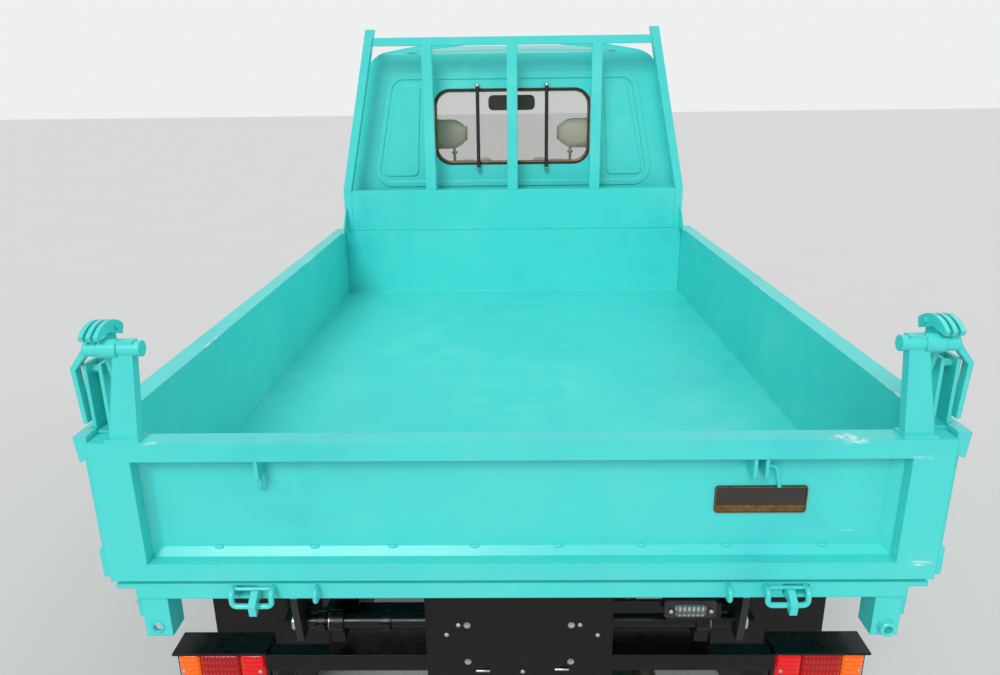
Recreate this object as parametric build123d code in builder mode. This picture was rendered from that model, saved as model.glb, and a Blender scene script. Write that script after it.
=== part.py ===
import os
from math import cos, hypot, radians, sin

from build123d import *

os.makedirs("parts", exist_ok=True)

# A kei truck with a tipping bed. Millimetres, +Y forwards, +X to the driver's right, +Z up.
# The origin is on the ground, under the middle of the whole vehicle.

# Driving sizes of the vehicle
overall_length = 3295
body_width = 1395
front_overhang = 640
rear_overhang = 755
front_wheel_inset = 95
rear_wheel_inset = 97.5
fit_gap = 0.3

# Tyres and rims, 12 inch
tyre_radius = 270
tyre_width = 145
rim_radius = 152
rim_width = 112
rim_flange = 166
hub_radius = 16
drum_radius = 112

# Load bed
floor_top_z = 760
floor_sheet = 8
bed_wall_thick = 41.5
bed_wall_skin = 5
wall_height = 250
bed_skirt = 12
front_wall_thick = 35
front_wall_rise = 152
latch_reach = 32.5

# Tailgate and its hinge pins
gate_thick = 37
gate_recess_depth = 33
gate_side_rail = 64
gate_top_rail = 32
gate_bottom_rail = 31.5
gate_pin_rise = 147
gate_pin_radius = 12
gate_post_inset = 55
gate_post_lean = 24
gate_post_base = 46
gate_post_tip = 28
gate_post_depth = 18

# Guard frame over the front wall
guard_top_z = 1742
guard_post_width = 30
guard_post_depth = 40
guard_lean = 122
guard_rail_size = 28
guard_bar_width = 40
guard_bar_depth = 35
guard_inner_pitch = 314

# Cab
cab_length = 1212.5
cab_gap = 75
cab_inset = 7.5
cab_wall = 40
cab_sill_z = 350
cowl_z = 1000
roof_crown_z = 1712
roof_drop = 61
roof_corner = 100
eave_inset = 146
nose_corner = 120
rear_corner = 40
door_skin = 12
door_thick = 45
door_step = 28
door_open_gap = 8
door_bottom_z = 400
glass_thick = 6
glass_depth = 20

# Chassis rails, the bed's hinge and the springs
rail_half = 320
rail_width = 50
rail_half_height = 50
nose_rail_half_height = 40
rail_rear_z = 575
rail_mid_z = 470
rail_front_z = 380
hinge_radius = 13
hinge_half = 400
kingpin_inset = 112.5
spring_inset = 170
spring_half_length = 500
wheelhouse_radius = 340

# Hoist cylinder: its base pin and its rod's eye, from the rear axle, with the bed down
hoist_base_back = 187.5
hoist_base_z = 490
hoist_eye_ahead = 692.5
barrel_radius = 35
bore_radius = 28
rod_radius = 18
hoist_pin_radius = 12

# Places along the vehicle
nose_y = overall_length / 2
front_axle_y = nose_y - front_overhang
rear_axle_y = rear_overhang - nose_y
gate_rear_y = latch_reach - nose_y
gate_front_y = gate_rear_y + gate_thick
gate_mid_y = gate_rear_y + gate_thick / 2
cab_rear_y = nose_y - cab_length
guard_front_y = cab_rear_y - cab_gap
front_wall_y = guard_front_y - guard_post_depth
front_wall_front_y = front_wall_y + front_wall_thick
face_y = nose_y - 25.5
hinge_y = gate_rear_y + 80
rail_rear_y = hinge_y + 20
hoist_base_y = rear_axle_y - hoist_base_back
hoist_eye_y = rear_axle_y + hoist_eye_ahead

# Places across it
body_half = body_width / 2
cab_half = body_half - cab_inset
bed_half = body_half - bed_wall_thick
gate_half = bed_half + 6
wheel_front_x = body_half - front_wheel_inset
wheel_rear_x = body_half - rear_wheel_inset
kingpin_x = wheel_front_x - kingpin_inset
spring_x = wheel_rear_x - spring_inset
rail_inner_x = rail_half - rail_width / 2
rail_outer_x = rail_half + rail_width / 2
gate_post_x = gate_half - gate_post_inset
guard_base_half = bed_half - 1
guard_top_half = guard_base_half - guard_lean

# Heights
wall_top_z = floor_top_z + wall_height
skirt_z = floor_top_z - bed_skirt
front_wall_top_z = wall_top_z + front_wall_rise
floor_bottom_z = floor_top_z - floor_sheet
member_bottom_z = floor_bottom_z - 40
bed_rest_z = floor_top_z - 110
hinge_z = floor_top_z - 131
hoist_eye_z = floor_top_z - 100
gate_bottom_z = floor_top_z + 7
gate_top_z = wall_top_z + 2
gate_pin_z = gate_top_z + gate_pin_rise
guard_knee_z = front_wall_top_z + 2
guard_rail_z = guard_top_z - 42
belt_z = cowl_z + 5
eave_z = roof_crown_z - roof_drop
door_top_z = roof_crown_z - 127
roof_split_z = door_top_z + 15


def side_plane(x):
    """A plane across the vehicle at x, whose sketches read as (y, z)."""
    return Plane(origin=(x, 0, 0), x_dir=(0, 1, 0), z_dir=(1, 0, 0))


def rear_plane(y):
    """A plane at y whose sketches read as (x, z) and extrude to the rear."""
    return Plane(origin=(0, y, 0), x_dir=(1, 0, 0), z_dir=(0, -1, 0))


def block(low, high, mode=Mode.ADD):
    """A box between two corners."""
    size = [high[i] - low[i] for i in range(3)]
    middle = tuple((high[i] + low[i]) / 2 for i in range(3))
    with Locations(middle):
        Box(*size, mode=mode)


def side_block(side, low, high, mode=Mode.ADD):
    """A box on one side, with its corners given for the right side."""
    xs = sorted((side * low[0], side * high[0]))
    block((xs[0], low[1], low[2]), (xs[1], high[1], high[2]), mode=mode)


def bar_along(start, direction, radius, length, mode=Mode.ADD):
    """A round bar from start, along direction."""
    with BuildSketch(Plane(origin=start, z_dir=direction)) as section:
        Circle(radius)
    extrude(section.sketch, amount=length, mode=mode)


def bent_bar(points, radius, corner):
    """A round bar through points, with rounded bends."""
    with BuildLine() as path:
        FilletPolyline(*points, radius=corner)
    start = path.edges()[0]
    with BuildSketch(Plane(origin=start @ 0, z_dir=start % 0)) as section:
        Circle(radius)
    sweep(section.sketch, path=path.wires()[0])


def side_profile(points, x_low, x_high, corner=0, mode=Mode.ADD):
    """A polygon of (y, z) points, extruded from x_low to x_high."""
    with BuildSketch(side_plane(x_low)) as section:
        with BuildLine():
            Polyline(*points, close=True)
        make_face()
        if corner:
            fillet(section.vertices(), corner)
    extrude(section.sketch, amount=x_high - x_low, mode=mode)


def rear_profile(points, y_front, y_rear, corner=0, mode=Mode.ADD):
    """A polygon of (x, z) points, extruded from y_front back to y_rear."""
    with BuildSketch(rear_plane(y_front)) as section:
        with BuildLine():
            Polyline(*points, close=True)
        make_face()
        if corner:
            fillet(section.vertices(), corner)
    extrude(section.sketch, amount=y_front - y_rear, mode=mode)


# Cab form: its side outline, cross-section and plan, met together
screen_base = (face_y - 30, cowl_z - 15)
screen_top = (face_y - 360, roof_crown_z - 72)
screen_slope = (screen_base[0] - screen_top[0]) / (screen_top[1] - screen_base[1])
rear_roof = (cab_rear_y, roof_crown_z - 51)
roof_middle = ((cab_rear_y + screen_top[0]) / 2, roof_crown_z - 6)
bumper_seat_z = 520


def cab_side_outline():
    """The cab's side view, nose to the right."""
    with BuildLine() as path:
        Polyline(
            rear_roof,
            (cab_rear_y, cab_sill_z),
            (face_y - 22, cab_sill_z),
            (face_y - 22, bumper_seat_z - 12),
            (face_y, bumper_seat_z),
        )
        ThreePointArc((face_y, bumper_seat_z), (face_y - 2, (bumper_seat_z + cowl_z) / 2), screen_base)
        Line(screen_base, screen_top)
        ThreePointArc(screen_top, roof_middle, rear_roof)
    make_face(path.edges())


def cab_section_outline():
    """The cab's cross-section: upright below the belt, leaning in above it, under a domed roof."""
    side_points = (
        (cab_half - 6, cab_sill_z),
        (cab_half, belt_z - 305),
        (cab_half, belt_z - 125),
        (cab_half - 4, belt_z),
        (cab_half - eave_inset, eave_z),
    )
    left_points = [(-x, z) for x, z in reversed(side_points)]
    with BuildLine() as path:
        Polyline(*left_points, *side_points)
        ThreePointArc(side_points[-1], (0, roof_crown_z), left_points[0])
    make_face(path.edges())
    fillet(vertices().sort_by(Axis.Y)[-2:], roof_corner)


def cab_form(inset):
    """The closed cab, drawn in by inset on every side."""
    with BuildPart() as form:
        with BuildSketch(side_plane(0)):
            cab_side_outline()
            if inset:
                offset(amount=-inset, kind=Kind.INTERSECTION)
        extrude(amount=body_width, both=True)
        with BuildSketch(Plane.XZ):
            cab_section_outline()
            if inset:
                offset(amount=-inset, kind=Kind.INTERSECTION)
        extrude(amount=overall_length, both=True, mode=Mode.INTERSECT)
        with BuildSketch(Plane.XY):
            with Locations((0, (cab_rear_y + face_y) / 2)):
                Rectangle(2 * (cab_half - inset), face_y - cab_rear_y - 2 * inset)
            fillet(vertices().group_by(Axis.Y)[-1], nose_corner - inset)
            if inset < rear_corner:
                fillet(vertices().group_by(Axis.Y)[0], rear_corner - inset)
        extrude(amount=2 * roof_crown_z, mode=Mode.INTERSECT)
    return form.part


cab_outer = cab_form(0)
cab_inner = cab_form(cab_wall)
cab_seat = cab_form(cab_wall + fit_gap)
under_skin = cab_form(door_skin)
glass_outer = cab_form(glass_depth)
glass_inner = cab_form(glass_depth + glass_thick)
under_door = cab_form(door_thick)

# Windows and door openings
screen_low_z = cowl_z + 30
screen_high_z = door_top_z
screen_low_half = cab_half - 80
screen_high_half = cab_half - 215
rear_window_low = belt_z + 249
rear_window_high = roof_crown_z - 184
rear_window_half = 300
rear_window_corner = 60
door_front_y = nose_y - 147.5
door_rear_y = cab_rear_y + 125
nose_split_y = door_front_y + 15

# Opening under the seats for the rails, the gearbox and the exhaust
tunnel_half = rail_outer_x + 3
tunnel_top_z = rail_mid_z + 105


def screen_cut(mode):
    """The windscreen's opening, through the front of the cab."""
    points = (
        (-screen_low_half, screen_low_z),
        (screen_low_half, screen_low_z),
        (screen_high_half, screen_high_z),
        (-screen_high_half, screen_high_z),
    )
    rear_profile(points, nose_y, screen_top[0] - 80, corner=50, mode=mode)


def rear_window_sketch():
    """The rear window's outline."""
    with Locations((0, (rear_window_low + rear_window_high) / 2)):
        RectangleRounded(2 * rear_window_half, rear_window_high - rear_window_low, rear_window_corner)


def door_outline(inset):
    """A door's outline in side view, drawn in by inset."""
    top_front_y = door_front_y - (door_top_z - cowl_z) * screen_slope
    with BuildLine() as path:
        Polyline(
            (door_front_y, door_bottom_z),
            (door_front_y, cowl_z),
            (top_front_y, door_top_z),
            (door_rear_y + 30, door_top_z),
            (door_rear_y, cowl_z),
            (door_rear_y, door_bottom_z),
            close=True,
        )
    make_face(path.edges())
    fillet(vertices(), 30)
    if inset:
        offset(amount=-inset)


def arch_cut(radius, x_low, x_high):
    """The front wheel's arch, cut through from x_low to x_high."""
    with BuildSketch(side_plane(x_low)) as section:
        with Locations((front_axle_y, tyre_radius)):
            Circle(radius)
    extrude(section.sketch, amount=x_high - x_low, mode=Mode.SUBTRACT)


# The cab's hollow shell, with the door openings, windscreen and arches cut
side_arch_radius = wheelhouse_radius + 5
with BuildPart() as cab_shell:
    add(cab_outer)
    add(cab_inner, mode=Mode.SUBTRACT)
    block(
        (90 - cab_half, cab_rear_y + cab_wall, 0),
        (cab_half - 90, face_y - 62, cab_sill_z + cab_wall + 1),
        mode=Mode.SUBTRACT,
    )
    with BuildSketch(side_plane(-body_half)):
        door_outline(0)
    extrude(amount=body_width, mode=Mode.SUBTRACT)
    arch_cut(side_arch_radius, -body_half, body_half)
    screen_cut(Mode.SUBTRACT)

# Drip lip round the cab's rear edge
lip_low_z = front_wall_top_z + 3
with BuildPart() as rear_lip:
    with BuildSketch(rear_plane(cab_rear_y + 26)):
        cab_section_outline()
        offset(amount=6, kind=Kind.INTERSECTION)
    extrude(amount=12)
    with BuildSketch(rear_plane(cab_rear_y + 26)):
        cab_section_outline()
        offset(amount=-14, kind=Kind.INTERSECTION)
    extrude(amount=12, mode=Mode.SUBTRACT)

with BuildPart() as cab_roof:
    add(cab_shell.part)
    add(rear_lip.part)
    block(
        (-body_half, cab_rear_y - 1, roof_split_z),
        (body_half, nose_y, 2 * roof_crown_z),
        mode=Mode.INTERSECT,
    )

# Rear panel with its pressed beads: one round the window, one on each side and a row of louvres
bead_height = 4
bead_width = 24
bead_chamfer = 3
frame_bead_points = (
    (562, rear_window_low - 92),
    (475, roof_split_z - 8),
    (-475, roof_split_z - 8),
    (-562, rear_window_low - 92),
)
side_bead_points = (
    (352, rear_window_high + 22),
    (440, rear_window_high + 22),
    (516, rear_window_low - 50),
    (374, rear_window_low - 50),
)
louvre_count = 7
louvre_pitch = 128
with BuildPart() as lower_lip:
    add(rear_lip.part)
    block(
        (-body_half, cab_rear_y, lip_low_z),
        (body_half, cab_rear_y + cab_wall, roof_split_z),
        mode=Mode.INTERSECT,
    )
with BuildPart() as cab_rear_panel:
    add(cab_shell.part)
    add(lower_lip.part)
    block(
        (-body_half, cab_rear_y - 1, 0),
        (body_half, cab_rear_y + cab_wall, roof_split_z),
        mode=Mode.INTERSECT,
    )
    with BuildSketch(rear_plane(cab_rear_y)) as frame_bead:
        with BuildLine():
            Polyline(*frame_bead_points, close=True)
        make_face()
        fillet(frame_bead.vertices(), 70)
        offset(amount=-bead_width, mode=Mode.SUBTRACT)
    extrude(amount=bead_height)
    with BuildSketch(rear_plane(cab_rear_y)) as side_bead:
        with BuildLine():
            Polyline(*side_bead_points, close=True)
        make_face()
        fillet(side_bead.vertices(), 22)
        mirror(about=Plane.YZ)
    extrude(amount=bead_height)
    with BuildSketch(rear_plane(cab_rear_y)):
        with Locations((0, rear_window_low - 119)):
            with GridLocations(louvre_pitch, 1, louvre_count, 1):
                SlotOverall(78, 16)
    extrude(amount=bead_height)
    raised_faces = faces().filter_by(Axis.Y).group_by(Axis.Y)[0]
    chamfer(raised_faces.edges(), bead_chamfer)
    with BuildSketch(rear_plane(cab_rear_y + cab_wall + 1)):
        rear_window_sketch()
    extrude(amount=cab_wall + 2, mode=Mode.SUBTRACT)
    block((-tunnel_half, 0, 0), (tunnel_half, nose_y, tunnel_top_z), mode=Mode.SUBTRACT)

# Front panel with the lamps' openings and the grille's slots
lamp_x = cab_half - 130
lamp_z = 690
lamp_width = 190
lamp_height = 130
lamp_corner = 25
grille_half = lamp_x - lamp_width / 2 - 40
grille_slots = 3
grille_pitch = 34


def lamp_sketch():
    """Both headlamps' outline."""
    with Locations((lamp_x, lamp_z), (-lamp_x, lamp_z)):
        RectangleRounded(lamp_width, lamp_height, lamp_corner)


with BuildPart() as cab_front_panel:
    add(cab_shell.part)
    block((-body_half, nose_split_y, 0), (body_half, nose_y, cowl_z), mode=Mode.INTERSECT)
    with BuildSketch(rear_plane(nose_y)):
        lamp_sketch()
        with Locations((0, lamp_z)):
            with GridLocations(1, grille_pitch, 1, grille_slots):
                SlotOverall(2 * grille_half, 16)
    extrude(amount=nose_y - nose_split_y, mode=Mode.SUBTRACT)

with BuildPart() as headlamps:
    add(cab_outer)
    add(cab_inner, mode=Mode.SUBTRACT)
    with BuildSketch(rear_plane(nose_y)):
        lamp_sketch()
    extrude(amount=nose_y - nose_split_y, mode=Mode.INTERSECT)

# Side frames round the door openings, with the fixed halves of the door hinges
hinge_axis_x = cab_half + 1
hinge_axis_y = door_front_y - 1
knuckle_radius = 6.5
knuckle_height = 30
leaf_thick = 11
door_hinge_heights = (door_bottom_z + 160, belt_z - 105)
with BuildPart() as cab_sides:
    add(cab_shell.part)
    block((-body_half, cab_rear_y + cab_wall, 0), (body_half, nose_y, roof_split_z), mode=Mode.INTERSECT)
    block((-body_half, nose_split_y, 0), (body_half, nose_y, cowl_z), mode=Mode.SUBTRACT)
    for side in (-1, 1):
        for low_z in door_hinge_heights:
            upper_z = low_z + knuckle_height + fit_gap
            axis_x = side * hinge_axis_x
            bar_along(
                (axis_x, hinge_axis_y, low_z - 5),
                (0, 0, 1),
                2 * knuckle_radius,
                2 * knuckle_height + 10,
                mode=Mode.SUBTRACT,
            )
            bar_along((axis_x, hinge_axis_y, upper_z), (0, 0, 1), knuckle_radius, knuckle_height - fit_gap)
            side_block(
                side,
                (hinge_axis_x - 1 - leaf_thick, hinge_axis_y, upper_z),
                (hinge_axis_x - 1, nose_split_y, low_z + 2 * knuckle_height),
            )

# Windscreen and rear window
with BuildPart() as cab_windows:
    add(under_skin)
    add(glass_outer, mode=Mode.SUBTRACT)
    screen_cut(Mode.INTERSECT)
    with BuildSketch(rear_plane(cab_rear_y + glass_depth)):
        rear_window_sketch()
    extrude(amount=glass_thick)

# Two upright bars outside the rear window
guard_bar_x = 133
guard_bar_radius = 7
guard_bar_stand = 18
guard_bar_low = rear_window_low - 22
guard_bar_high = rear_window_high + 20
with BuildPart() as window_guard_bars:
    for x in (-guard_bar_x, guard_bar_x):
        bar_along((x, cab_rear_y - guard_bar_stand, guard_bar_low), (0, 0, 1), guard_bar_radius,
                  guard_bar_high - guard_bar_low)
        for foot_z in (guard_bar_low + 8, guard_bar_high - 8):
            bar_along((x, cab_rear_y, foot_z), (0, -1, 0), guard_bar_radius - 1, guard_bar_stand)

# Footwell, and the seat deck behind it with the two wheel houses
floor_plate = 12
foot_floor_z = rail_front_z + nose_rail_half_height + fit_gap
deck_z = 700
deck_top_z = deck_z + floor_plate
riser_y = front_axle_y + 282.5
floor_half = cab_half - 58
wheelhouse_inner_x = tunnel_half + 4
tower_radius = 72
strut_foot_z = tyre_radius + wheelhouse_radius - 40
with BuildPart() as cab_floor:
    block((-floor_half, riser_y, foot_floor_z), (floor_half, face_y - 63, foot_floor_z + floor_plate))
    block((-floor_half, riser_y, foot_floor_z), (floor_half, riser_y + floor_plate, deck_top_z))
    for side in (-1, 1):
        xs = sorted((side * (wheelhouse_inner_x - fit_gap), side * (floor_half + 1)))
        arch_cut(wheelhouse_radius + floor_plate + fit_gap, *xs)
    add(cab_seat, mode=Mode.INTERSECT)

with BuildPart() as seat_deck:
    rear_wall_y = cab_rear_y + cab_wall + fit_gap
    block((-floor_half, rear_wall_y, deck_z), (floor_half, riser_y, deck_top_z))
    block(
        (-floor_half, rear_wall_y, cab_sill_z + cab_wall + 2),
        (floor_half, rear_wall_y + floor_plate, deck_z),
    )
    for side in (-1, 1):
        xs = sorted((side * wheelhouse_inner_x, side * floor_half))
        with BuildSketch(side_plane(xs[0])):
            with Locations((front_axle_y, tyre_radius)):
                Circle(wheelhouse_radius + floor_plate)
            with Locations((front_axle_y, tyre_radius - wheelhouse_radius / 2)):
                Rectangle(3 * wheelhouse_radius, wheelhouse_radius + 100, mode=Mode.SUBTRACT)
        extrude(amount=floor_half - wheelhouse_inner_x)
    for side in (-1, 1):
        xs = sorted((side * (wheelhouse_inner_x + floor_plate / 2), side * (floor_half + 1)))
        arch_cut(wheelhouse_radius, *xs)
        strut_foot = (side * kingpin_x, front_axle_y, strut_foot_z)
        tower_height = deck_z - strut_foot_z
        bar_along(strut_foot, (0, 0, 1), tower_radius, tower_height + 1)
        bar_along(strut_foot, (0, 0, 1), tower_radius - floor_plate / 2, tower_height, mode=Mode.SUBTRACT)
    block((-tunnel_half, 0, 0), (tunnel_half, riser_y, tunnel_top_z), mode=Mode.SUBTRACT)
    add(cab_seat, mode=Mode.INTERSECT)

# Doors: an outer skin over a smaller inner panel, so that the step clears the jamb
window_sill_z = belt_z + 35
window_head_z = door_top_z - 30
window_frame = 46
handle_y = door_rear_y + 85
handle_z = belt_z - 70


def window_outline():
    """A door window's outline in side view."""
    front_low = door_front_y - (window_sill_z - cowl_z) * screen_slope - window_frame * 1.4
    front_high = door_front_y - (window_head_z - cowl_z) * screen_slope - window_frame * 1.4
    with BuildLine() as path:
        Polyline(
            (front_low, window_sill_z),
            (front_high, window_head_z),
            (door_rear_y + 30 + window_frame, window_head_z),
            (door_rear_y + 5 + window_frame, window_sill_z),
            close=True,
        )
    make_face(path.edges())
    fillet(vertices(), 35)


with BuildPart() as door_inner:
    add(under_skin)
    add(under_door, mode=Mode.SUBTRACT)
    with BuildSketch(side_plane(body_half / 2)):
        door_outline(door_step)
    extrude(amount=body_half, mode=Mode.INTERSECT)

with BuildPart() as door_right:
    add(cab_outer)
    add(under_skin, mode=Mode.SUBTRACT)
    with BuildSketch(side_plane(body_half / 2)):
        door_outline(door_open_gap)
    extrude(amount=body_half, mode=Mode.INTERSECT)
    add(door_inner.part)
    arch_cut(side_arch_radius + 5, body_half / 2, body_half + 20)
    with BuildSketch(side_plane(body_half / 2)):
        window_outline()
    extrude(amount=body_half, mode=Mode.SUBTRACT)
    # The handle's cup and the pressed line along the belt
    with BuildSketch(side_plane(cab_half + 1)):
        with Locations((handle_y, handle_z)):
            RectangleRounded(130, 44, 12)
    extrude(amount=-16, taper=12, mode=Mode.SUBTRACT)
    groove_y = (door_rear_y + door_front_y) / 2
    with BuildSketch(side_plane(cab_half - 3)):
        with Locations((groove_y, belt_z - 205)):
            SlotOverall(door_front_y - door_rear_y - 90, 14)
    extrude(amount=10, mode=Mode.SUBTRACT)
    for low_z in door_hinge_heights:
        block(
            (hinge_axis_x - 1 - leaf_thick, hinge_axis_y - 20, low_z),
            (hinge_axis_x - 1, hinge_axis_y, low_z + knuckle_height),
        )
        bar_along((hinge_axis_x, hinge_axis_y, low_z), (0, 0, 1), knuckle_radius, knuckle_height)

with BuildPart() as door_glass_right:
    add(glass_outer)
    add(glass_inner, mode=Mode.SUBTRACT)
    with BuildSketch(side_plane(body_half / 2)):
        window_outline()
    extrude(amount=body_half, mode=Mode.INTERSECT)

# Door mirrors on a bent arm
mirror_x = cab_half + 55
mirror_y = door_front_y - 60
mirror_z = belt_z + 205
with BuildPart() as mirror_right:
    with BuildSketch(rear_plane(mirror_y + 25)):
        with Locations((mirror_x, mirror_z)):
            RectangleRounded(110, 190, 28)
    extrude(amount=45, taper=6)
    arm_root = (mirror_x - 76, mirror_y + 14, mirror_z - 150)
    arm_top = (mirror_x, mirror_y, mirror_z - 50)
    arm_step = [arm_top[i] - arm_root[i] for i in range(3)]
    bar_along(arm_root, arm_step, 9, hypot(*arm_step))
    add(cab_outer, mode=Mode.SUBTRACT)

with BuildPart() as door_left:
    mirror(door_right.part, about=Plane.YZ)
with BuildPart() as door_glass_left:
    mirror(door_glass_right.part, about=Plane.YZ)
with BuildPart() as mirror_left:
    mirror(mirror_right.part, about=Plane.YZ)

# Front bumper: a shell that wraps round the nose, with its air slot
bumper_low_z = cab_sill_z - 32
bumper_high_z = bumper_seat_z - 20
bumper_skin = 8
with BuildPart() as front_bumper:
    for inset, mode in ((0, Mode.ADD), (bumper_skin, Mode.SUBTRACT)):
        front_y = nose_y - inset
        back_y = face_y - 77 - 2 * inset
        with BuildSketch(Plane.XY.offset(bumper_low_z + inset)):
            with Locations((0, (front_y + back_y) / 2)):
                Rectangle(2 * (cab_half - 4 - inset), front_y - back_y)
            fillet(vertices().group_by(Axis.Y)[-1], 95 - inset)
        extrude(amount=bumper_high_z - bumper_low_z - 2 * inset, mode=mode)
    block(
        (-cab_half, face_y - 122, 0),
        (cab_half, face_y - 22 + fit_gap, bumper_seat_z),
        mode=Mode.SUBTRACT,
    )
    with BuildSketch(rear_plane(nose_y)):
        with Locations((0, bumper_low_z + 62)):
            SlotOverall(520, 46)
    extrude(amount=2 * bumper_skin, mode=Mode.SUBTRACT)

# Seats: two cushions, and two backs with head restraints
seat_gap = 110
seat_outer_x = cab_half - 165
seat_width = seat_outer_x - seat_gap / 2
seat_x = (seat_outer_x + seat_gap / 2) / 2
seat_rear_y = cab_rear_y + 100
cushion_z = deck_top_z + fit_gap
cushion_points = ((195, 0), (655, 0), (690, 60), (645, 120), (225, 95))
back_points = ((90, 0), (190, 0), (115, 573), (25, 573), (0, 528))
head_points = ((35, 568), (105, 568), (90, 712), (65, 724), (15, 708))
head_width = 244
seat_pieces = (  # points, width
    (cushion_points, seat_width),
    (back_points, seat_width),
    (head_points, head_width),
)
with BuildPart() as seats:
    for side in (-1, 1):
        for points, width in seat_pieces:
            placed = [(seat_rear_y + y, cushion_z + z) for y, z in points]
            side_profile(placed, side * seat_x - width / 2, side * seat_x + width / 2)

# Dashboard with the steering column, and the steering wheel
column_angle = 30
wheel_hub = (seat_x + 10, riser_y, cowl_z + 10)
column_direction = (0, sin(radians(column_angle)), -cos(radians(column_angle)))
wheel_rim_radius = 182
dash_points = (
    (face_y - 222, cowl_z - 180),
    (face_y - 77, cowl_z - 240),
    (face_y - 2, cowl_z - 200),
    (face_y - 2, cowl_z - 40),
    (face_y - 77, cowl_z - 15),
    (face_y - 222, cowl_z - 50),
    (face_y - 252, cowl_z - 100),
)


def along_column(distance):
    """A point on the steering column's centre line, from the wheel's hub down."""
    return tuple(wheel_hub[i] + distance * column_direction[i] for i in range(3))


with BuildPart() as dashboard:
    side_profile(dash_points, 90 - cab_half, cab_half - 90)
    bar_along(along_column(40), column_direction, 28, 400)
    bar_along(along_column(400), column_direction, 14, 230)
    add(cab_seat, mode=Mode.INTERSECT)

with BuildPart() as steering_wheel:
    wheel_plane = Plane(origin=wheel_hub, x_dir=(1, 0, 0), z_dir=[-c for c in column_direction])
    with Locations(wheel_plane):
        Torus(wheel_rim_radius, 13)
    with BuildSketch(wheel_plane.offset(-22)):
        Circle(45)
    extrude(amount=34)
    with BuildSketch(wheel_plane.offset(-6)):
        with PolarLocations(0, 3, start_angle=-90):
            with Locations((wheel_rim_radius / 2, 0)):
                Rectangle(wheel_rim_radius, 30)
    extrude(amount=10)
    with BuildSketch(wheel_plane.offset(fit_gap - 40)):
        Circle(20)
    extrude(amount=20)

# Chassis ladder frame: two cranked rails, with cross members, pads for the bed and hangers
rail_line = (  # y, z, half the height
    (rail_rear_y, rail_rear_z, rail_half_height),
    (rear_axle_y + 492.5, rail_rear_z, rail_half_height),
    (rear_axle_y + 792.5, rail_mid_z, rail_half_height),
    (riser_y - 110, rail_mid_z, rail_half_height),
    (riser_y - 5, rail_front_z, nose_rail_half_height),
    (face_y - 64, rail_front_z, nose_rail_half_height),
)
mid_member_y = rear_axle_y + 817.5
cross_members = (  # y, z, height, depth
    (rail_rear_y + 25, rail_rear_z, 80, 50),
    (hoist_base_y - 70, rail_rear_z, 80, 50),
    (mid_member_y, rail_mid_z, 70, 50),
    (face_y - 122, rail_front_z, 60, 50),
)
bed_pads = (  # y, the rail's z there
    (rail_rear_y + 115, rail_rear_z),
    (rear_axle_y + 192.5, rail_rear_z),
    (front_wall_y - 120, rail_mid_z),
)
ear_thick = 10
hoist_base_ear = 38
spring_eye_y = (rear_axle_y - spring_half_length, rear_axle_y + spring_half_length)
spring_eye_z = 430
spring_eye_radius = 16
with BuildPart() as chassis_frame:
    top = [(y, z + half) for y, z, half in rail_line]
    bottom = [(y, z - half) for y, z, half in rail_line]
    for side in (-1, 1):
        x = side * rail_half
        side_profile(top + bottom[::-1], x - rail_width / 2, x + rail_width / 2)
        for y, z in bed_pads:
            block((x - 20, y - 30, z + rail_half_height - 1), (x + 20, y + 30, bed_rest_z - fit_gap))
        # Hinge stand at the frame's end
        block((x - 12, hinge_y - 6, hinge_z - 40), (x + 12, rail_rear_y + 5, hinge_z - 8))
        bar_along((x - 12, hinge_y, hinge_z), (1, 0, 0), hinge_radius + 6, 24)
        for y in spring_eye_y:
            hanger_z = spring_eye_z + spring_eye_radius + fit_gap
            side_block(
                side,
                (rail_outer_x - 1, y - 22, hanger_z),
                (spring_x + 30, y + 22, rail_rear_z - 40),
            )
    for y, z, height, depth in cross_members:
        block((-rail_half, y - depth / 2, z - height / 2), (rail_half, y + depth / 2, z + height / 2))
    bar_along((-hinge_half, hinge_y, hinge_z), (1, 0, 0), hinge_radius, 2 * hinge_half)
    # Ears and pin at the hoist's base
    base_ear = (
        (hoist_base_y - 95, rail_rear_z - 35),
        (hoist_base_y - 95, rail_rear_z + 35),
        (hoist_base_y + 24, hoist_base_z + 20),
        (hoist_base_y + 24, hoist_base_z - 24),
        (hoist_base_y - 20, hoist_base_z - 24),
    )
    for x in (-hoist_base_ear - ear_thick, hoist_base_ear):
        side_profile(base_ear, x, x + ear_thick)
    pin_half = hoist_base_ear + ear_thick
    bar_along((-pin_half, hoist_base_y, hoist_base_z), (1, 0, 0), hoist_pin_radius, 2 * pin_half)

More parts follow.
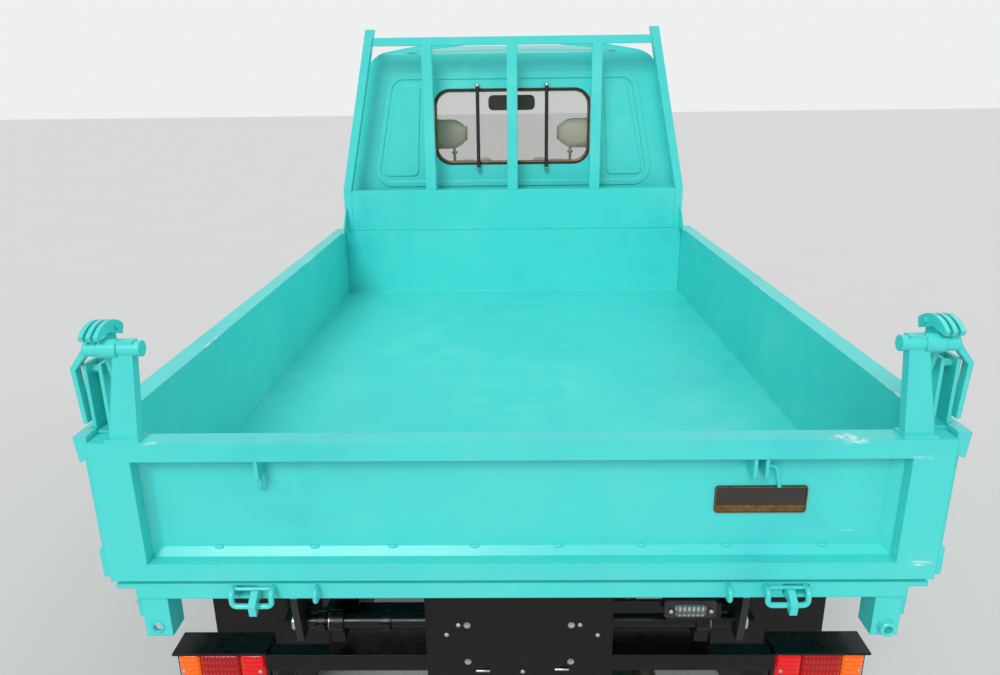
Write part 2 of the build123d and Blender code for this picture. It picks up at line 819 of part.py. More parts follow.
# Rear axle with its drums and leaf springs
leaf_thick_z = 8
leaf_halves = (spring_half_length, 330, 190)
leaf_rise = spring_eye_z - 318
with BuildPart() as rear_axle:
    drum_inner_x = wheel_rear_x - 100
    axle_half = drum_inner_x + 5
    bar_along((-axle_half, rear_axle_y, tyre_radius), (1, 0, 0), 32, 2 * axle_half)
    bar_along((-75, rear_axle_y, tyre_radius), (1, 0, 0), 98, 150)
    bar_along((0, rear_axle_y + 60, tyre_radius), (0, 1, 0), 52, 95)
    for side in (-1, 1):
        bar_along((side * drum_inner_x, rear_axle_y, tyre_radius), (side, 0, 0), drum_radius, 78)
        bar_along((side * (drum_inner_x + 70), rear_axle_y, tyre_radius), (side, 0, 0), hub_radius, 72)
        for leaf, half_length in enumerate(leaf_halves):
            base = spring_eye_z - leaf_rise - leaf * leaf_thick_z
            end_z = base + leaf_rise * (half_length / spring_half_length) ** 2
            ends = (rear_axle_y - half_length, rear_axle_y + half_length)
            with BuildSketch(side_plane(side * spring_x - 30)):
                with BuildLine():
                    ThreePointArc((ends[0], end_z), (rear_axle_y, base), (ends[1], end_z))
                    Line((ends[1], end_z), (ends[1], end_z - leaf_thick_z))
                    ThreePointArc((ends[1], end_z - leaf_thick_z), (rear_axle_y, base - leaf_thick_z),
                                  (ends[0], end_z - leaf_thick_z))
                    Line((ends[0], end_z - leaf_thick_z), (ends[0], end_z))
                make_face()
            extrude(amount=60)
        for y in spring_eye_y:
            bar_along((side * spring_x - 30, y, spring_eye_z), (1, 0, 0), spring_eye_radius, 60)
        block(
            (side * spring_x - 34, rear_axle_y - 40, tyre_radius),
            (side * spring_x + 34, rear_axle_y + 40, tyre_radius + 64),
        )

# Engine, gearbox and propeller shaft
engine_front_y = front_axle_y - 77.5
engine_rear_y = front_axle_y - 507.5
gearbox_rear_y = mid_member_y + 205
engine_half = 200
gearbox_half = 120
engine_points = (
    (engine_rear_y, 320),
    (engine_front_y, 320),
    (engine_front_y, deck_z - 15),
    (engine_rear_y + 40, deck_z - 15),
    (engine_rear_y, deck_z - 100),
)
gearbox_points = (
    (gearbox_rear_y, 350),
    (engine_rear_y + 2, 350),
    (engine_rear_y + 2, 560),
    (gearbox_rear_y, 520),
)
shaft_front = (0, gearbox_rear_y, 400)
shaft_rear = (0, rear_axle_y + 155 + fit_gap, tyre_radius)
with BuildPart() as power_unit:
    side_profile(engine_points, -engine_half, engine_half)
    side_profile(gearbox_points, -gearbox_half, gearbox_half)
    shaft_step = [shaft_rear[i] - shaft_front[i] for i in range(3)]
    bar_along(shaft_front, shaft_step, 27, hypot(*shaft_step))
    block((-body_half, shaft_rear[1] - 60, 0), (body_half, shaft_rear[1], rail_rear_z), mode=Mode.SUBTRACT)

# Front cross member, lower arms and steering rack
ball_joint_z = 168
with BuildPart() as front_suspension:
    block(
        (-rail_outer_x, front_axle_y - 28, 330),
        (rail_outer_x, front_axle_y + 28, rail_mid_z - rail_half_height),
    )
    for side in (-1, 1):
        arm = (
            (side * 300, 331),
            (side * 345, 331),
            (side * (kingpin_x - 34), ball_joint_z),
            (side * (kingpin_x + 22), ball_joint_z),
            (side * (kingpin_x + 22), ball_joint_z - 22),
            (side * (kingpin_x - 42), ball_joint_z - 22),
            (side * 300, 300),
        )
        rear_profile(arm, front_axle_y + 25, front_axle_y - 25)
        side_block(side, (180, front_axle_y + 27, 340), (220, front_axle_y + 60, 380))
    bar_along((-300, front_axle_y + 60, 350), (1, 0, 0), 24, 600)

# Knuckle with its strut and spring, turning about a vertical line through the ball joint
spring_seat_z = tyre_radius + 290
with BuildPart() as knuckle_right:
    bar_along((kingpin_x, front_axle_y, ball_joint_z + fit_gap), (0, 0, 1), 14, 70)
    bar_along((kingpin_x, front_axle_y, tyre_radius - 45), (0, 0, 1), 24, 340)
    bar_along((kingpin_x, front_axle_y, spring_seat_z), (0, 0, 1), 56, 8)
    spring_low_z = spring_seat_z + 6
    bar_along((kingpin_x, front_axle_y, spring_low_z), (0, 0, 1), 44, deck_z - fit_gap - spring_low_z)
    block(
        (kingpin_x - 10, front_axle_y - 40, tyre_radius - 50),
        (kingpin_x + 85, front_axle_y + 40, tyre_radius + 50),
    )
    bar_along((kingpin_x + 80, front_axle_y, tyre_radius), (1, 0, 0), drum_radius, 22)
    bar_along((kingpin_x + 100, front_axle_y, tyre_radius), (1, 0, 0), hub_radius, 52)
    block((kingpin_x - 12, front_axle_y + 30, 240), (kingpin_x + 14, front_axle_y + 130, 262))
with BuildPart() as knuckle_left:
    mirror(knuckle_right.part, about=Plane.YZ)


def wheel_plane_at(x, y):
    """A plane through a wheel's centre, whose sketches read as (outward, up)."""
    return Plane(origin=(x, y, tyre_radius), x_dir=(1, 0, 0), z_dir=(0, -1, 0))


def tyre_at(x, y):
    """A tyre: its section, with three grooves round the tread, turned about the axle."""
    half = tyre_width / 2
    bead = rim_width / 2 - 5 - fit_gap
    tread_top = Plane(origin=(x, y, 2 * tyre_radius), x_dir=(1, 0, 0), z_dir=(0, -1, 0))
    with BuildPart() as tyre:
        with BuildSketch(tread_top):
            with BuildLine():
                Polyline(
                    (half - 30, 0),
                    (half - 18, -4),
                    (half - 3, -26),
                )
                ThreePointArc(
                    (half - 3, -26),
                    (half, rim_flange + 44 - tyre_radius),
                    (bead, rim_flange + 2 - tyre_radius),
                )
                Polyline(
                    (bead, rim_flange + 2 - tyre_radius),
                    (bead, rim_radius + fit_gap - tyre_radius),
                    (-bead, rim_radius + fit_gap - tyre_radius),
                    (-bead, rim_flange + 2 - tyre_radius),
                )
                ThreePointArc(
                    (-bead, rim_flange + 2 - tyre_radius),
                    (-half, rim_flange + 44 - tyre_radius),
                    (3 - half, -26),
                )
                Polyline(
                    (3 - half, -26),
                    (18 - half, -4),
                    (30 - half, 0),
                    (half - 30, 0),
                )
            make_face()
            with GridLocations(26, 1, 3, 1):
                Rectangle(5, 14, mode=Mode.SUBTRACT)
        revolve(axis=Axis((x, y, tyre_radius), (1, 0, 0)))
    return tyre.part


def rim_at(x, y):
    """A steel rim: the barrel with its well, and the dished disc with its vents."""
    half = rim_width / 2
    well = rim_radius - 24
    with BuildPart() as rim:
        with BuildSketch(wheel_plane_at(x, y)):
            with BuildLine():
                Polyline(
                    (-half, rim_flange),
                    (-half, rim_radius - 6),
                    (-28, rim_radius - 8),
                    (-20, well),
                    (20, well),
                    (28, rim_radius - 8),
                    (half, rim_radius - 6),
                    (half, rim_flange),
                    (half - 4, rim_flange),
                    (half - 5, rim_radius),
                    (32, rim_radius),
                    (22, well + 6),
                    (-22, well + 6),
                    (-32, rim_radius),
                    (5 - half, rim_radius),
                    (4 - half, rim_flange),
                    close=True,
                )
            make_face()
            with BuildLine():
                Polyline(
                    (14, well + 2), (36, 104), (28, 66), (38, 50), (38, hub_radius + fit_gap),
                    (32, hub_radius + fit_gap), (32, 46), (22, 64), (30, 102), (8, well + 2),
                    close=True,
                )
            make_face()
        revolve(axis=Axis((x, y, tyre_radius), (1, 0, 0)))
        with BuildSketch(side_plane(x)):
            with Locations((y, tyre_radius)):
                with PolarLocations(88, 8):
                    Circle(12)
        extrude(amount=half, mode=Mode.SUBTRACT)
    return rim.part


wheel_places = (  # name, x, y
    ("front_right", wheel_front_x, front_axle_y),
    ("rear_right", wheel_rear_x, rear_axle_y),
)
wheels = {}
for place, x, y in wheel_places:
    for kind, make in (("tyre", tyre_at), ("rim", rim_at)):
        with BuildPart() as right_piece:
            add(make(x, y))
        with BuildPart() as left_piece:
            mirror(right_piece.part, about=Plane.YZ)
        wheels[f"{kind}_{place}"] = right_piece
        wheels[f"{kind}_{place.replace('right', 'left')}"] = left_piece

# Fuel tank, with its seam, and exhaust
tank_rear_y = rear_axle_y + 542.5
tank_front_y = gearbox_rear_y - 20
tank_outer_x = bed_half - 16
tank_low_z = 350
tank_high_z = 550
with BuildPart() as fuel_tank:
    block((-tank_outer_x, tank_rear_y, tank_low_z), (-rail_outer_x - fit_gap, tank_front_y, tank_high_z))
    fillet(edges().filter_by(Axis.Y), 30)
    seam_z = (tank_low_z + tank_high_z) / 2
    block(
        (-tank_outer_x - 6, tank_rear_y - 6, seam_z - 2),
        (-rail_outer_x - fit_gap, tank_front_y + 6, seam_z + 2),
    )

exhaust_x = 215
exhaust_z = 400
pipe_radius = 18
muffler_rear_y = hinge_y + 55
muffler_front_y = muffler_rear_y + 340
with BuildPart() as exhaust:
    bar_along((exhaust_x, muffler_rear_y, exhaust_z), (0, 1, 0), 58, muffler_front_y - muffler_rear_y)
    for end_y in (muffler_rear_y, muffler_front_y):
        bar_along((exhaust_x, end_y - 5, exhaust_z), (0, 1, 0), 62, 10)
    bar_along((exhaust_x, muffler_rear_y - 90, exhaust_z), (0, 1, 0), pipe_radius, 100)
    pipe_start_y = muffler_front_y - 5
    pipe_length = engine_rear_y + 200 - pipe_start_y
    bar_along((exhaust_x, pipe_start_y, exhaust_z), (0, 1, 0), pipe_radius, pipe_length)
    block((engine_half + fit_gap, engine_rear_y + 60, 385), (exhaust_x + 15, engine_rear_y + 200, 415))
    block((exhaust_x - 20, 0, 0), (engine_half + fit_gap, nose_y, deck_z), mode=Mode.SUBTRACT)
    # Hanger from the rail
    hanger_y = muffler_rear_y + 40
    hanger_z = rail_rear_z - 45
    block((exhaust_x - 8, hanger_y, exhaust_z + 55), (exhaust_x + 8, hanger_y + 40, hanger_z))
    block((exhaust_x - 8, hanger_y, hanger_z - 15), (rail_inner_x - fit_gap, hanger_y + 40, hanger_z))

# Rear carrier: the bar, the lamp housings, the number plate's carrier and the mud flaps
lamp_low_z = 491
lamp_high_z = 563
lamp_rim = 6
lamp_inner_x = bed_half - 199
lamp_outer_x = bed_half - 43
lens_thick = 18
bar_rear_y = rail_rear_y - 30
lamp_rear_y = bar_rear_y
lamp_front_y = bar_rear_y + 55
plate_half = 162
plate_low_z = 502
plate_high_z = 700
plate_rear_y = bar_rear_y - 17
plate_thick = 6
plate_bolt_pitch = 210
plate_bolt_z = 640
plate_bolt_radius = 3.5
flap_y = rear_axle_y - tyre_radius - 60
flap_inner_x = wheel_rear_x - 85
flap_outer_x = wheel_rear_x + 80
with BuildPart() as rear_carrier:
    bar_half = lamp_inner_x - lamp_rim + 2
    block((-bar_half, bar_rear_y, 530), (bar_half, rail_rear_y - fit_gap, lamp_high_z))
    for side in (-1, 1):
        # A hooded lamp housing with its rim
        side_block(
            side,
            (lamp_inner_x - lamp_rim, lamp_rear_y + lens_thick, lamp_low_z - lamp_rim),
            (lamp_outer_x + lamp_rim, lamp_front_y, lamp_high_z + lamp_rim),
        )
        side_block(
            side,
            (lamp_inner_x - lamp_rim, lamp_rear_y - 4, lamp_high_z + 2),
            (lamp_outer_x + lamp_rim, lamp_front_y, lamp_high_z + lamp_rim),
        )
        # Mud flap and its arm from the rail
        side_block(side, (rail_outer_x + fit_gap, flap_y - 12, rail_rear_z - 25),
                   (flap_outer_x, flap_y + 12, rail_rear_z - 1))
        side_block(side, (flap_inner_x, flap_y - 5, 215), (flap_outer_x, flap_y + 1, rail_rear_z - 20))
    block((-plate_half, plate_rear_y, plate_low_z), (plate_half, plate_rear_y + plate_thick, plate_high_z))
    for x in (-plate_bolt_pitch / 2, plate_bolt_pitch / 2):
        bar_along(
            (x, plate_rear_y + 2 * plate_thick, plate_bolt_z),
            (0, -1, 0),
            plate_bolt_radius,
            20,
            mode=Mode.SUBTRACT,
        )
        block((x - 15, plate_rear_y + plate_thick - 1, 535), (x + 15, bar_rear_y + 5, lamp_high_z - 5))
    # Housing of the plate's lamp, beside the plate
    block((249, plate_rear_y - 13, 660), (341, plate_rear_y + plate_thick, 692))
    block((plate_half - 5, plate_rear_y, 664), (254, plate_rear_y + plate_thick, 688))

with BuildPart() as tail_lamps:
    for side in (-1, 1):
        side_block(side, (lamp_inner_x, lamp_rear_y, lamp_low_z),
                   (lamp_outer_x, lamp_rear_y + lens_thick - fit_gap, lamp_high_z))
    fillet(edges().group_by(Axis.Y)[0].filter_by(Axis.X), 6)

# Load bed floor with its cross members, long rails, hinge ears, hoist ears and lashing brackets
bed_rear_y = gate_rear_y + 3
side_wall_rear_y = gate_front_y + 5
first_member_y = gate_front_y + 98
last_member_y = front_wall_y - 30
member_half = 22
hinge_ear_x = 381
hoist_ear_x = 22
lashing_x = bed_half - 54
lashing_z = 672
lashing_radius = 7
lashing_plate = 5
rear_member_z = floor_top_z - 28
rear_member_half = bed_half - 30
side_rail_outer_x = bed_half - 6
side_rail_z = floor_top_z - 92
latch_slot_x = 425
with BuildPart() as bed_floor:
    block((-bed_half, bed_rear_y, floor_bottom_z), (bed_half, front_wall_y, floor_top_z))
    member_ys = [first_member_y + i * (hoist_eye_y - first_member_y) / 4 for i in range(5)]
    member_ys += [hoist_eye_y + i * (last_member_y - hoist_eye_y) / 2 for i in (1, 2)]
    for y in member_ys:
        block(
            (-bed_half, y - member_half, member_bottom_z),
            (bed_half, y + member_half, floor_bottom_z + 1),
        )
    block(
        (-rear_member_half, bed_rear_y, rear_member_z),
        (rear_member_half, bed_rear_y + 40, floor_bottom_z + 1),
    )
    for side in (-1, 1):
        # Slot for the latch in the rear member
        side_block(
            side,
            (latch_slot_x, bed_rear_y - 1, rear_member_z + 6),
            (latch_slot_x + 42, bed_rear_y + 14, rear_member_z + 25),
            mode=Mode.SUBTRACT,
        )
        x = side * rail_half
        block((x - 25, first_member_y - 10, bed_rest_z), (x + 25, last_member_y + 20, member_bottom_z + 1))
        hinge_ear = (
            (bed_rear_y + 35, floor_bottom_z),
            (first_member_y + 20, floor_bottom_z),
            (first_member_y + 20, member_bottom_z - 12),
            (hinge_y + 30, hinge_z + 10),
            (hinge_y + 26, hinge_z - 22),
            (hinge_y - 26, hinge_z - 22),
            (bed_rear_y + 35, member_bottom_z - 22),
        )
        side_profile(hinge_ear, side * hinge_ear_x - 6, side * hinge_ear_x + 6)
        # Long rail under the side wall, for ropes
        side_block(
            side,
            (side_rail_outer_x - 14, side_wall_rear_y + 2, side_rail_z),
            (side_rail_outer_x, front_wall_y - 5, floor_bottom_z + 1),
        )
        # Bracket with its lashing eye at the rear corner
        eye_rear_y = bed_rear_y + 5
        eye_front_y = eye_rear_y + lashing_plate
        low_z = lashing_z - 17
        high_z = rear_member_z + 2
        inner_x = lashing_x - 23
        side_block(side, (inner_x, eye_rear_y, low_z), (lashing_x + 21, eye_front_y, high_z))
        side_block(side, (inner_x, eye_rear_y, low_z), (inner_x + 5, bed_rear_y + 50, high_z))
        side_block(side, (inner_x, bed_rear_y + 30, high_z - 8), (lashing_x + 21, bed_rear_y + 50, high_z))
        bar_along(
            (side * lashing_x, eye_front_y + 1, lashing_z),
            (0, -1, 0),
            lashing_radius,
            lashing_plate + 2,
            mode=Mode.SUBTRACT,
        )
    bar_along(
        (-hinge_half, hinge_y, hinge_z),
        (1, 0, 0),
        hinge_radius + fit_gap,
        2 * hinge_half,
        mode=Mode.SUBTRACT,
    )
    hoist_ear = (
        (hoist_eye_y - 22, member_bottom_z + 1),
        (hoist_eye_y + 22, member_bottom_z + 1),
        (hoist_eye_y + 20, hoist_eye_z - 24),
        (hoist_eye_y - 20, hoist_eye_z - 24),
    )
    for x in (-hoist_ear_x - ear_thick, hoist_ear_x):
        side_profile(hoist_ear, x, x + ear_thick)
    eye_half = hoist_ear_x + ear_thick + 1
    bar_along(
        (-eye_half, hoist_eye_y, hoist_eye_z),
        (1, 0, 0),
        hoist_pin_radius,
        2 * eye_half,
        mode=Mode.SUBTRACT,
    )

# Side walls: a skin between a top rail and a bottom rail, with ribs on the outside
rib_count = 6
rib_width = 40
with BuildPart() as bed_sides:
    for side in (-1, 1):
        inner_x = bed_half + fit_gap
        side_block(
            side,
            (inner_x, side_wall_rear_y, skirt_z),
            (bed_half + bed_wall_skin, front_wall_front_y, wall_top_z),
        )
        for low_z, high_z in ((wall_top_z - 42, wall_top_z), (skirt_z, skirt_z + 50)):
            side_block(side, (inner_x, side_wall_rear_y, low_z), (body_half, front_wall_front_y, high_z))
        rib_step = (front_wall_front_y - side_wall_rear_y - rib_width) / rib_count
        for i in range(rib_count + 1):
            y = side_wall_rear_y + i * rib_step
            side_block(side, (inner_x, y, skirt_z + 1), (body_half - 6, y + rib_width, wall_top_z - 1))

# Front wall: a full-width lower part and a narrower upper part between the guard posts
upper_half = guard_base_half - guard_post_width - fit_gap
front_wall_low_z = floor_top_z - 60
front_wall_folds = (  # low z, high z, half width
    (front_wall_top_z - 34, front_wall_top_z, upper_half),
    (wall_top_z - 31, wall_top_z - 1, bed_half),
    (front_wall_low_z, front_wall_low_z + 50, bed_half),
)
with BuildPart() as bed_front_wall:
    sheet_y = front_wall_y + fit_gap
    sheet_front_y = front_wall_y + bed_wall_skin
    block((-bed_half, sheet_y, front_wall_low_z), (bed_half, sheet_front_y, wall_top_z - 1))
    block((-upper_half, sheet_y, wall_top_z - 10), (upper_half, sheet_front_y, front_wall_top_z))
    for low_z, high_z, half in front_wall_folds:
        block((-half, sheet_y, low_z), (half, front_wall_front_y, high_z))
    for x in (20 - upper_half, -guard_inner_pitch, 0, guard_inner_pitch, upper_half - 20):
        block(
            (x - 20, sheet_y, front_wall_low_z + 1),
            (x + 20, front_wall_front_y - 3, front_wall_top_z - 1),
        )
    # The seam where the upper sheet is folded over the lower one
    block(
        (-upper_half, sheet_y - 1, wall_top_z - 4),
        (upper_half, sheet_y + 1.5, wall_top_z - 1.5),
        mode=Mode.SUBTRACT,
    )

# Guard frame: two leaning posts with their gussets, a rail and three upright bars
with BuildPart() as guard_frame:
    foot_z = wall_top_z - 1 + fit_gap
    lean = guard_lean / (guard_top_z - guard_knee_z)
    for side in (-1, 1):
        post = (
            (side * guard_base_half, foot_z),
            (side * guard_base_half, guard_knee_z),
            (side * guard_top_half, guard_top_z),
            (side * (guard_top_half - guard_post_width), guard_top_z),
            (side * (guard_base_half - guard_post_width), guard_knee_z),
            (side * (guard_base_half - guard_post_width), foot_z),
        )
        rear_profile(post, guard_front_y, front_wall_y)
        gusset = ((front_wall_y + 1, foot_z), (front_wall_y + 1, foot_z + 90), (front_wall_y - 90, foot_z))
        gusset_x = side * (guard_base_half - 6)
        side_profile(gusset, gusset_x - 2.5, gusset_x + 2.5)
    half_rail = guard_rail_size / 2
    middle_y = front_wall_y + guard_post_depth / 2
    rail_end = guard_base_half - guard_post_width - lean * (guard_rail_z - guard_knee_z) + 14
    block(
        (-rail_end, middle_y - half_rail, guard_rail_z - half_rail),
        (rail_end, middle_y + half_rail, guard_rail_z + half_rail),
    )
    bar_low_z = front_wall_top_z + fit_gap
    bar_height = guard_rail_z - half_rail + 1 - bar_low_z
    with BuildSketch(Plane.XY.offset(bar_low_z)):
        with Locations((0, front_wall_y + fit_gap + guard_bar_depth / 2)):
            with GridLocations(guard_inner_pitch, 1, 3, 1):
                RectangleRounded(guard_bar_width, guard_bar_depth, 5)
    extrude(amount=bar_height)

# Tailgate: a deep frame round one sheet, hung from pins at the tips of two tapered posts
pin_inner_x = gate_half - 103
pin_outer_x = gate_half - 18
with BuildPart() as tailgate:
    block((-gate_half, gate_rear_y, gate_bottom_z), (gate_half, gate_front_y, gate_top_z))
    recess_half = gate_half - gate_side_rail
    recess_low = gate_bottom_z + gate_bottom_rail
    recess_high = gate_top_z - gate_top_rail
    recess_plane = Plane(origin=(0, gate_rear_y, 0), x_dir=(-1, 0, 0), z_dir=(0, 1, 0))
    with BuildSketch(recess_plane):
        with Locations((0, (recess_low + recess_high) / 2)):
            Rectangle(2 * recess_half, recess_high - recess_low)
    extrude(amount=gate_recess_depth * 2 / 3, mode=Mode.SUBTRACT)
    with BuildSketch(recess_plane.offset(gate_recess_depth * 2 / 3 - 0.1)):
        with Locations((0, (recess_low + recess_high) / 2)):
            Rectangle(2 * recess_half, recess_high - recess_low)
    extrude(amount=gate_recess_depth / 3, taper=50, mode=Mode.SUBTRACT)
    post_top_z = gate_pin_z + gate_pin_radius + 1
    for side in (-1, 1):
        x = side * gate_post_x
        tip_x = side * (gate_post_x - gate_post_lean)
        post = (
            (x - gate_post_base / 2, gate_top_z - 1),
            (x + gate_post_base / 2, gate_top_z - 1),
            (tip_x + gate_post_tip / 2, post_top_z),
            (tip_x - gate_post_tip / 2, post_top_z),
        )
        half_depth = gate_post_depth / 2
        rear_profile(post, gate_mid_y + half_depth, gate_mid_y - half_depth)
        block((x - 27, gate_rear_y + 2, gate_top_z - 1), (x + 27, gate_front_y - 2, gate_top_z + 5))
        pin_start = (side * pin_inner_x, gate_mid_y, gate_pin_z)
        bar_along(pin_start, (side, 0, 0), gate_pin_radius, pin_outer_x - pin_inner_x)
        collar_start = (side * (gate_half - 68), gate_mid_y, gate_pin_z)
        bar_along(collar_start, (side, 0, 0), gate_pin_radius + 2.5, 27.5)
    # Hook plates under the top rail
    for x in (-405, 362, 380):
        block((x - 3, gate_rear_y + 1, recess_high - 32), (x + 3, gate_front_y - 3, recess_high + 1))

# Gate locks: corner posts on the bed, the claws that hold the gate's pins and the bottom latches
claw_x = gate_half - 39
claw_thick = 7
claw_gap = 4
post_inner_x = gate_half - 22
post_outer_x = gate_half + 8
lock_post_depth = 38
lock_post_rear_y = side_wall_rear_y + 2
lock_post_front_y = lock_post_rear_y + lock_post_depth
lock_post_top_z = gate_pin_z - 34
lock_foot_z = wall_top_z + 6
handle_knee_z = gate_pin_z - 41
latch_z = gate_bottom_z - 12.5


def claw_head(low_x, high_x, side):
    """One rounded plate of a claw, over the gate's pin, from low_x to high_x."""
    x = min(side * low_x, side * high_x)
    with BuildSketch(side_plane(x)) as section:
        with BuildLine() as path:
            rear_tip = (gate_mid_y - 22, gate_pin_z + 23)
            crest = (gate_mid_y + 14, gate_pin_z + 38)
            front_tip = (gate_mid_y + 58, gate_pin_z + 22)
            ThreePointArc(rear_tip, crest, front_tip)
            Polyline(
                front_tip,
                (gate_mid_y + 52, gate_pin_z + 8),
                (gate_mid_y + 14, gate_pin_z + 20),
                (gate_mid_y - 18, gate_pin_z + 16),
                rear_tip,
            )
        make_face(path.edges())
    extrude(section.sketch, amount=high_x - low_x)


with BuildPart() as gate_locks:
    for side in (-1, 1):
        # Foot plate, channel post and the triangular plate outside the gate's corner
        foot_rear_y = lock_post_rear_y - 4
        side_block(
            side,
            (gate_half - 38, foot_rear_y, wall_top_z + fit_gap),
            (gate_half + 20, foot_rear_y + 60, lock_foot_z),
        )
        side_block(side, (post_inner_x, lock_post_front_y - 5, lock_foot_z - 1),
                   (post_outer_x, lock_post_front_y, lock_post_top_z))
        for flange_x in (post_inner_x, post_outer_x - 6):
            side_block(side, (flange_x, lock_post_rear_y, lock_foot_z - 1),
                       (flange_x + 6, lock_post_front_y, lock_post_top_z))
        corner_plate = (
            (side * (gate_half + 1), gate_top_z + 8),
            (side * (gate_half + 22), gate_top_z + 8),
            (side * (gate_half + 18), gate_top_z - 35),
            (side * (gate_half + 1), gate_top_z - 29),
        )
        rear_profile(corner_plate, side_wall_rear_y - 0.5, gate_rear_y + 8)
        side_block(side, (gate_half + 1, side_wall_rear_y - 1, gate_top_z - 1),
                   (gate_half + 20, foot_rear_y + 2, gate_top_z + 8))
        # The claw: three head plates, the middle one reaching down round the pin to its pivot
        for low_x in (claw_x - claw_thick - claw_gap, claw_x, claw_x + claw_thick + claw_gap):
            claw_head(low_x, low_x + claw_thick, side)
        pivot_z = lock_post_top_z - 12
        pivot_y = lock_post_rear_y + 18
        with BuildSketch(side_plane(min(side * claw_x, side * (claw_x + claw_thick)))):
            with BuildLine():
                Polyline(
                    (gate_mid_y - 17, gate_pin_z + 22),
                    (gate_mid_y + 50, gate_pin_z + 22),
                    (pivot_y + 16, pivot_z - 14),
                    (pivot_y - 14, pivot_z - 14),
                    (gate_mid_y + 14, gate_pin_z - 8),
                    (gate_mid_y, gate_pin_z + 2),
                    close=True,
                )
            make_face()
            with Locations((gate_mid_y, gate_pin_z)):
                Circle(gate_pin_radius + fit_gap, mode=Mode.SUBTRACT)
        extrude(amount=claw_thick)
        bar_along((side * (claw_x - 4), pivot_y, pivot_z), (side, 0, 0), 6, post_outer_x - claw_x + 8)
        rivet_x = claw_x - claw_gap - claw_thick - 3
        bar_along((side * rivet_x, gate_mid_y + 36, gate_pin_z + 24), (side, 0, 0), 5, 35)
        # Its bent handle, outside the post
        handle = (
            (side * (claw_x + 1), gate_pin_z + 34),
            (side * (claw_x + 9), gate_pin_z + 33),
            (side * (gate_half + 23), handle_knee_z + 3),
            (side * (gate_half + 18), gate_top_z + 18),
            (side * (gate_half + 11), gate_top_z + 18),
            (side * (gate_half + 15), handle_knee_z),
            (side * (claw_x + 1), gate_pin_z + 22),
        )
        rear_profile(handle, gate_mid_y + 34, gate_mid_y + 18)

    # Bottom latches: a bent loop round a hook on its bracket
    for x in (-431, 428):
        loop = (
            (x - 32, bed_rear_y - fit_gap, latch_z),
            (x - 32, bed_rear_y - 18, latch_z),
            (x - 32, bed_rear_y - 18, latch_z - 24),
            (x + 32, bed_rear_y - 18, latch_z - 24),
            (x + 32, bed_rear_y - 18, latch_z),
            (x + 32, bed_rear_y - fit_gap, latch_z),
        )
        bent_bar(loop, 4.5, 8)
        hook = (
            (bed_rear_y - fit_gap, latch_z + 1),
            (gate_rear_y - 12, latch_z + 1),
            (-nose_y, latch_z - 13),
            (-nose_y + 3, latch_z - 33),
            (-nose_y + 13, latch_z - 31),
            (gate_rear_y - 14, latch_z - 17),
            (bed_rear_y - fit_gap, latch_z - 18),
        )
        side_profile(hook, x - 1, x + 11)
        bar_along((x - 32, bed_rear_y - 5.5, latch_z), (1, 0, 0), 3, 64)
    # Rope hooks beside them
    for x in (-328, 336):
        rope_hook = (
            (x, bed_rear_y - fit_gap, latch_z + 1),
            (x, bed_rear_y - 18, latch_z + 1),
            (x, bed_rear_y - 18, latch_z - 18),
            (x, bed_rear_y - 7, latch_z - 18),
        )
        bent_bar(rope_hook, 4, 6)

# Hoist cylinder: the barrel swings on its base pin, and the rod slides in it
barrel_length = 740
piston_at = 280
hoist_base = (0, hoist_base_y, hoist_base_z)
hoist_step = (0, hoist_eye_y - hoist_base_y, hoist_eye_z - hoist_base_z)
hoist_length = hypot(*hoist_step)
hoist_direction = tuple(c / hoist_length for c in hoist_step)


def along_hoist(distance):
    """A point on the hoist's centre line."""
    return tuple(hoist_base[i] + distance * hoist_direction[i] for i in range(3))


with BuildPart() as hoist_barrel:
    eye_half = hoist_base_ear - 1
    bar_along(along_hoist(22), hoist_direction, barrel_radius, barrel_length - 22)
    bar_along(along_hoist(barrel_length - 24), hoist_direction, barrel_radius + 5, 24)
    bar_along((-eye_half, hoist_base_y, hoist_base_z), (1, 0, 0), 26, 2 * eye_half)
    bar_along(along_hoist(44), hoist_direction, bore_radius, barrel_length - 62, mode=Mode.SUBTRACT)
    bar_along(
        along_hoist(barrel_length - 20),
        hoist_direction,
        rod_radius + fit_gap,
        22,
        mode=Mode.SUBTRACT,
    )
    bar_along(
        (-hoist_base_ear, hoist_base_y, hoist_base_z),
        (1, 0, 0),
        hoist_pin_radius + fit_gap,
        2 * hoist_base_ear,
        mode=Mode.SUBTRACT,
    )

with BuildPart() as hoist_rod:
    bar_along(along_hoist(piston_at), hoist_direction, rod_radius, hoist_length - piston_at - 10)
    bar_along(along_hoist(piston_at - 20), hoist_direction, bore_radius - fit_gap, 30)
    bar_along((-hoist_ear_x + 4, hoist_eye_y, hoist_eye_z), (1, 0, 0), 24, 2 * hoist_ear_x - 8)
    eye_start = (2 - hoist_ear_x, hoist_eye_y, hoist_eye_z)
    bar_along(eye_start, (1, 0, 0), hoist_pin_radius - 1, 2 * hoist_ear_x - 4)

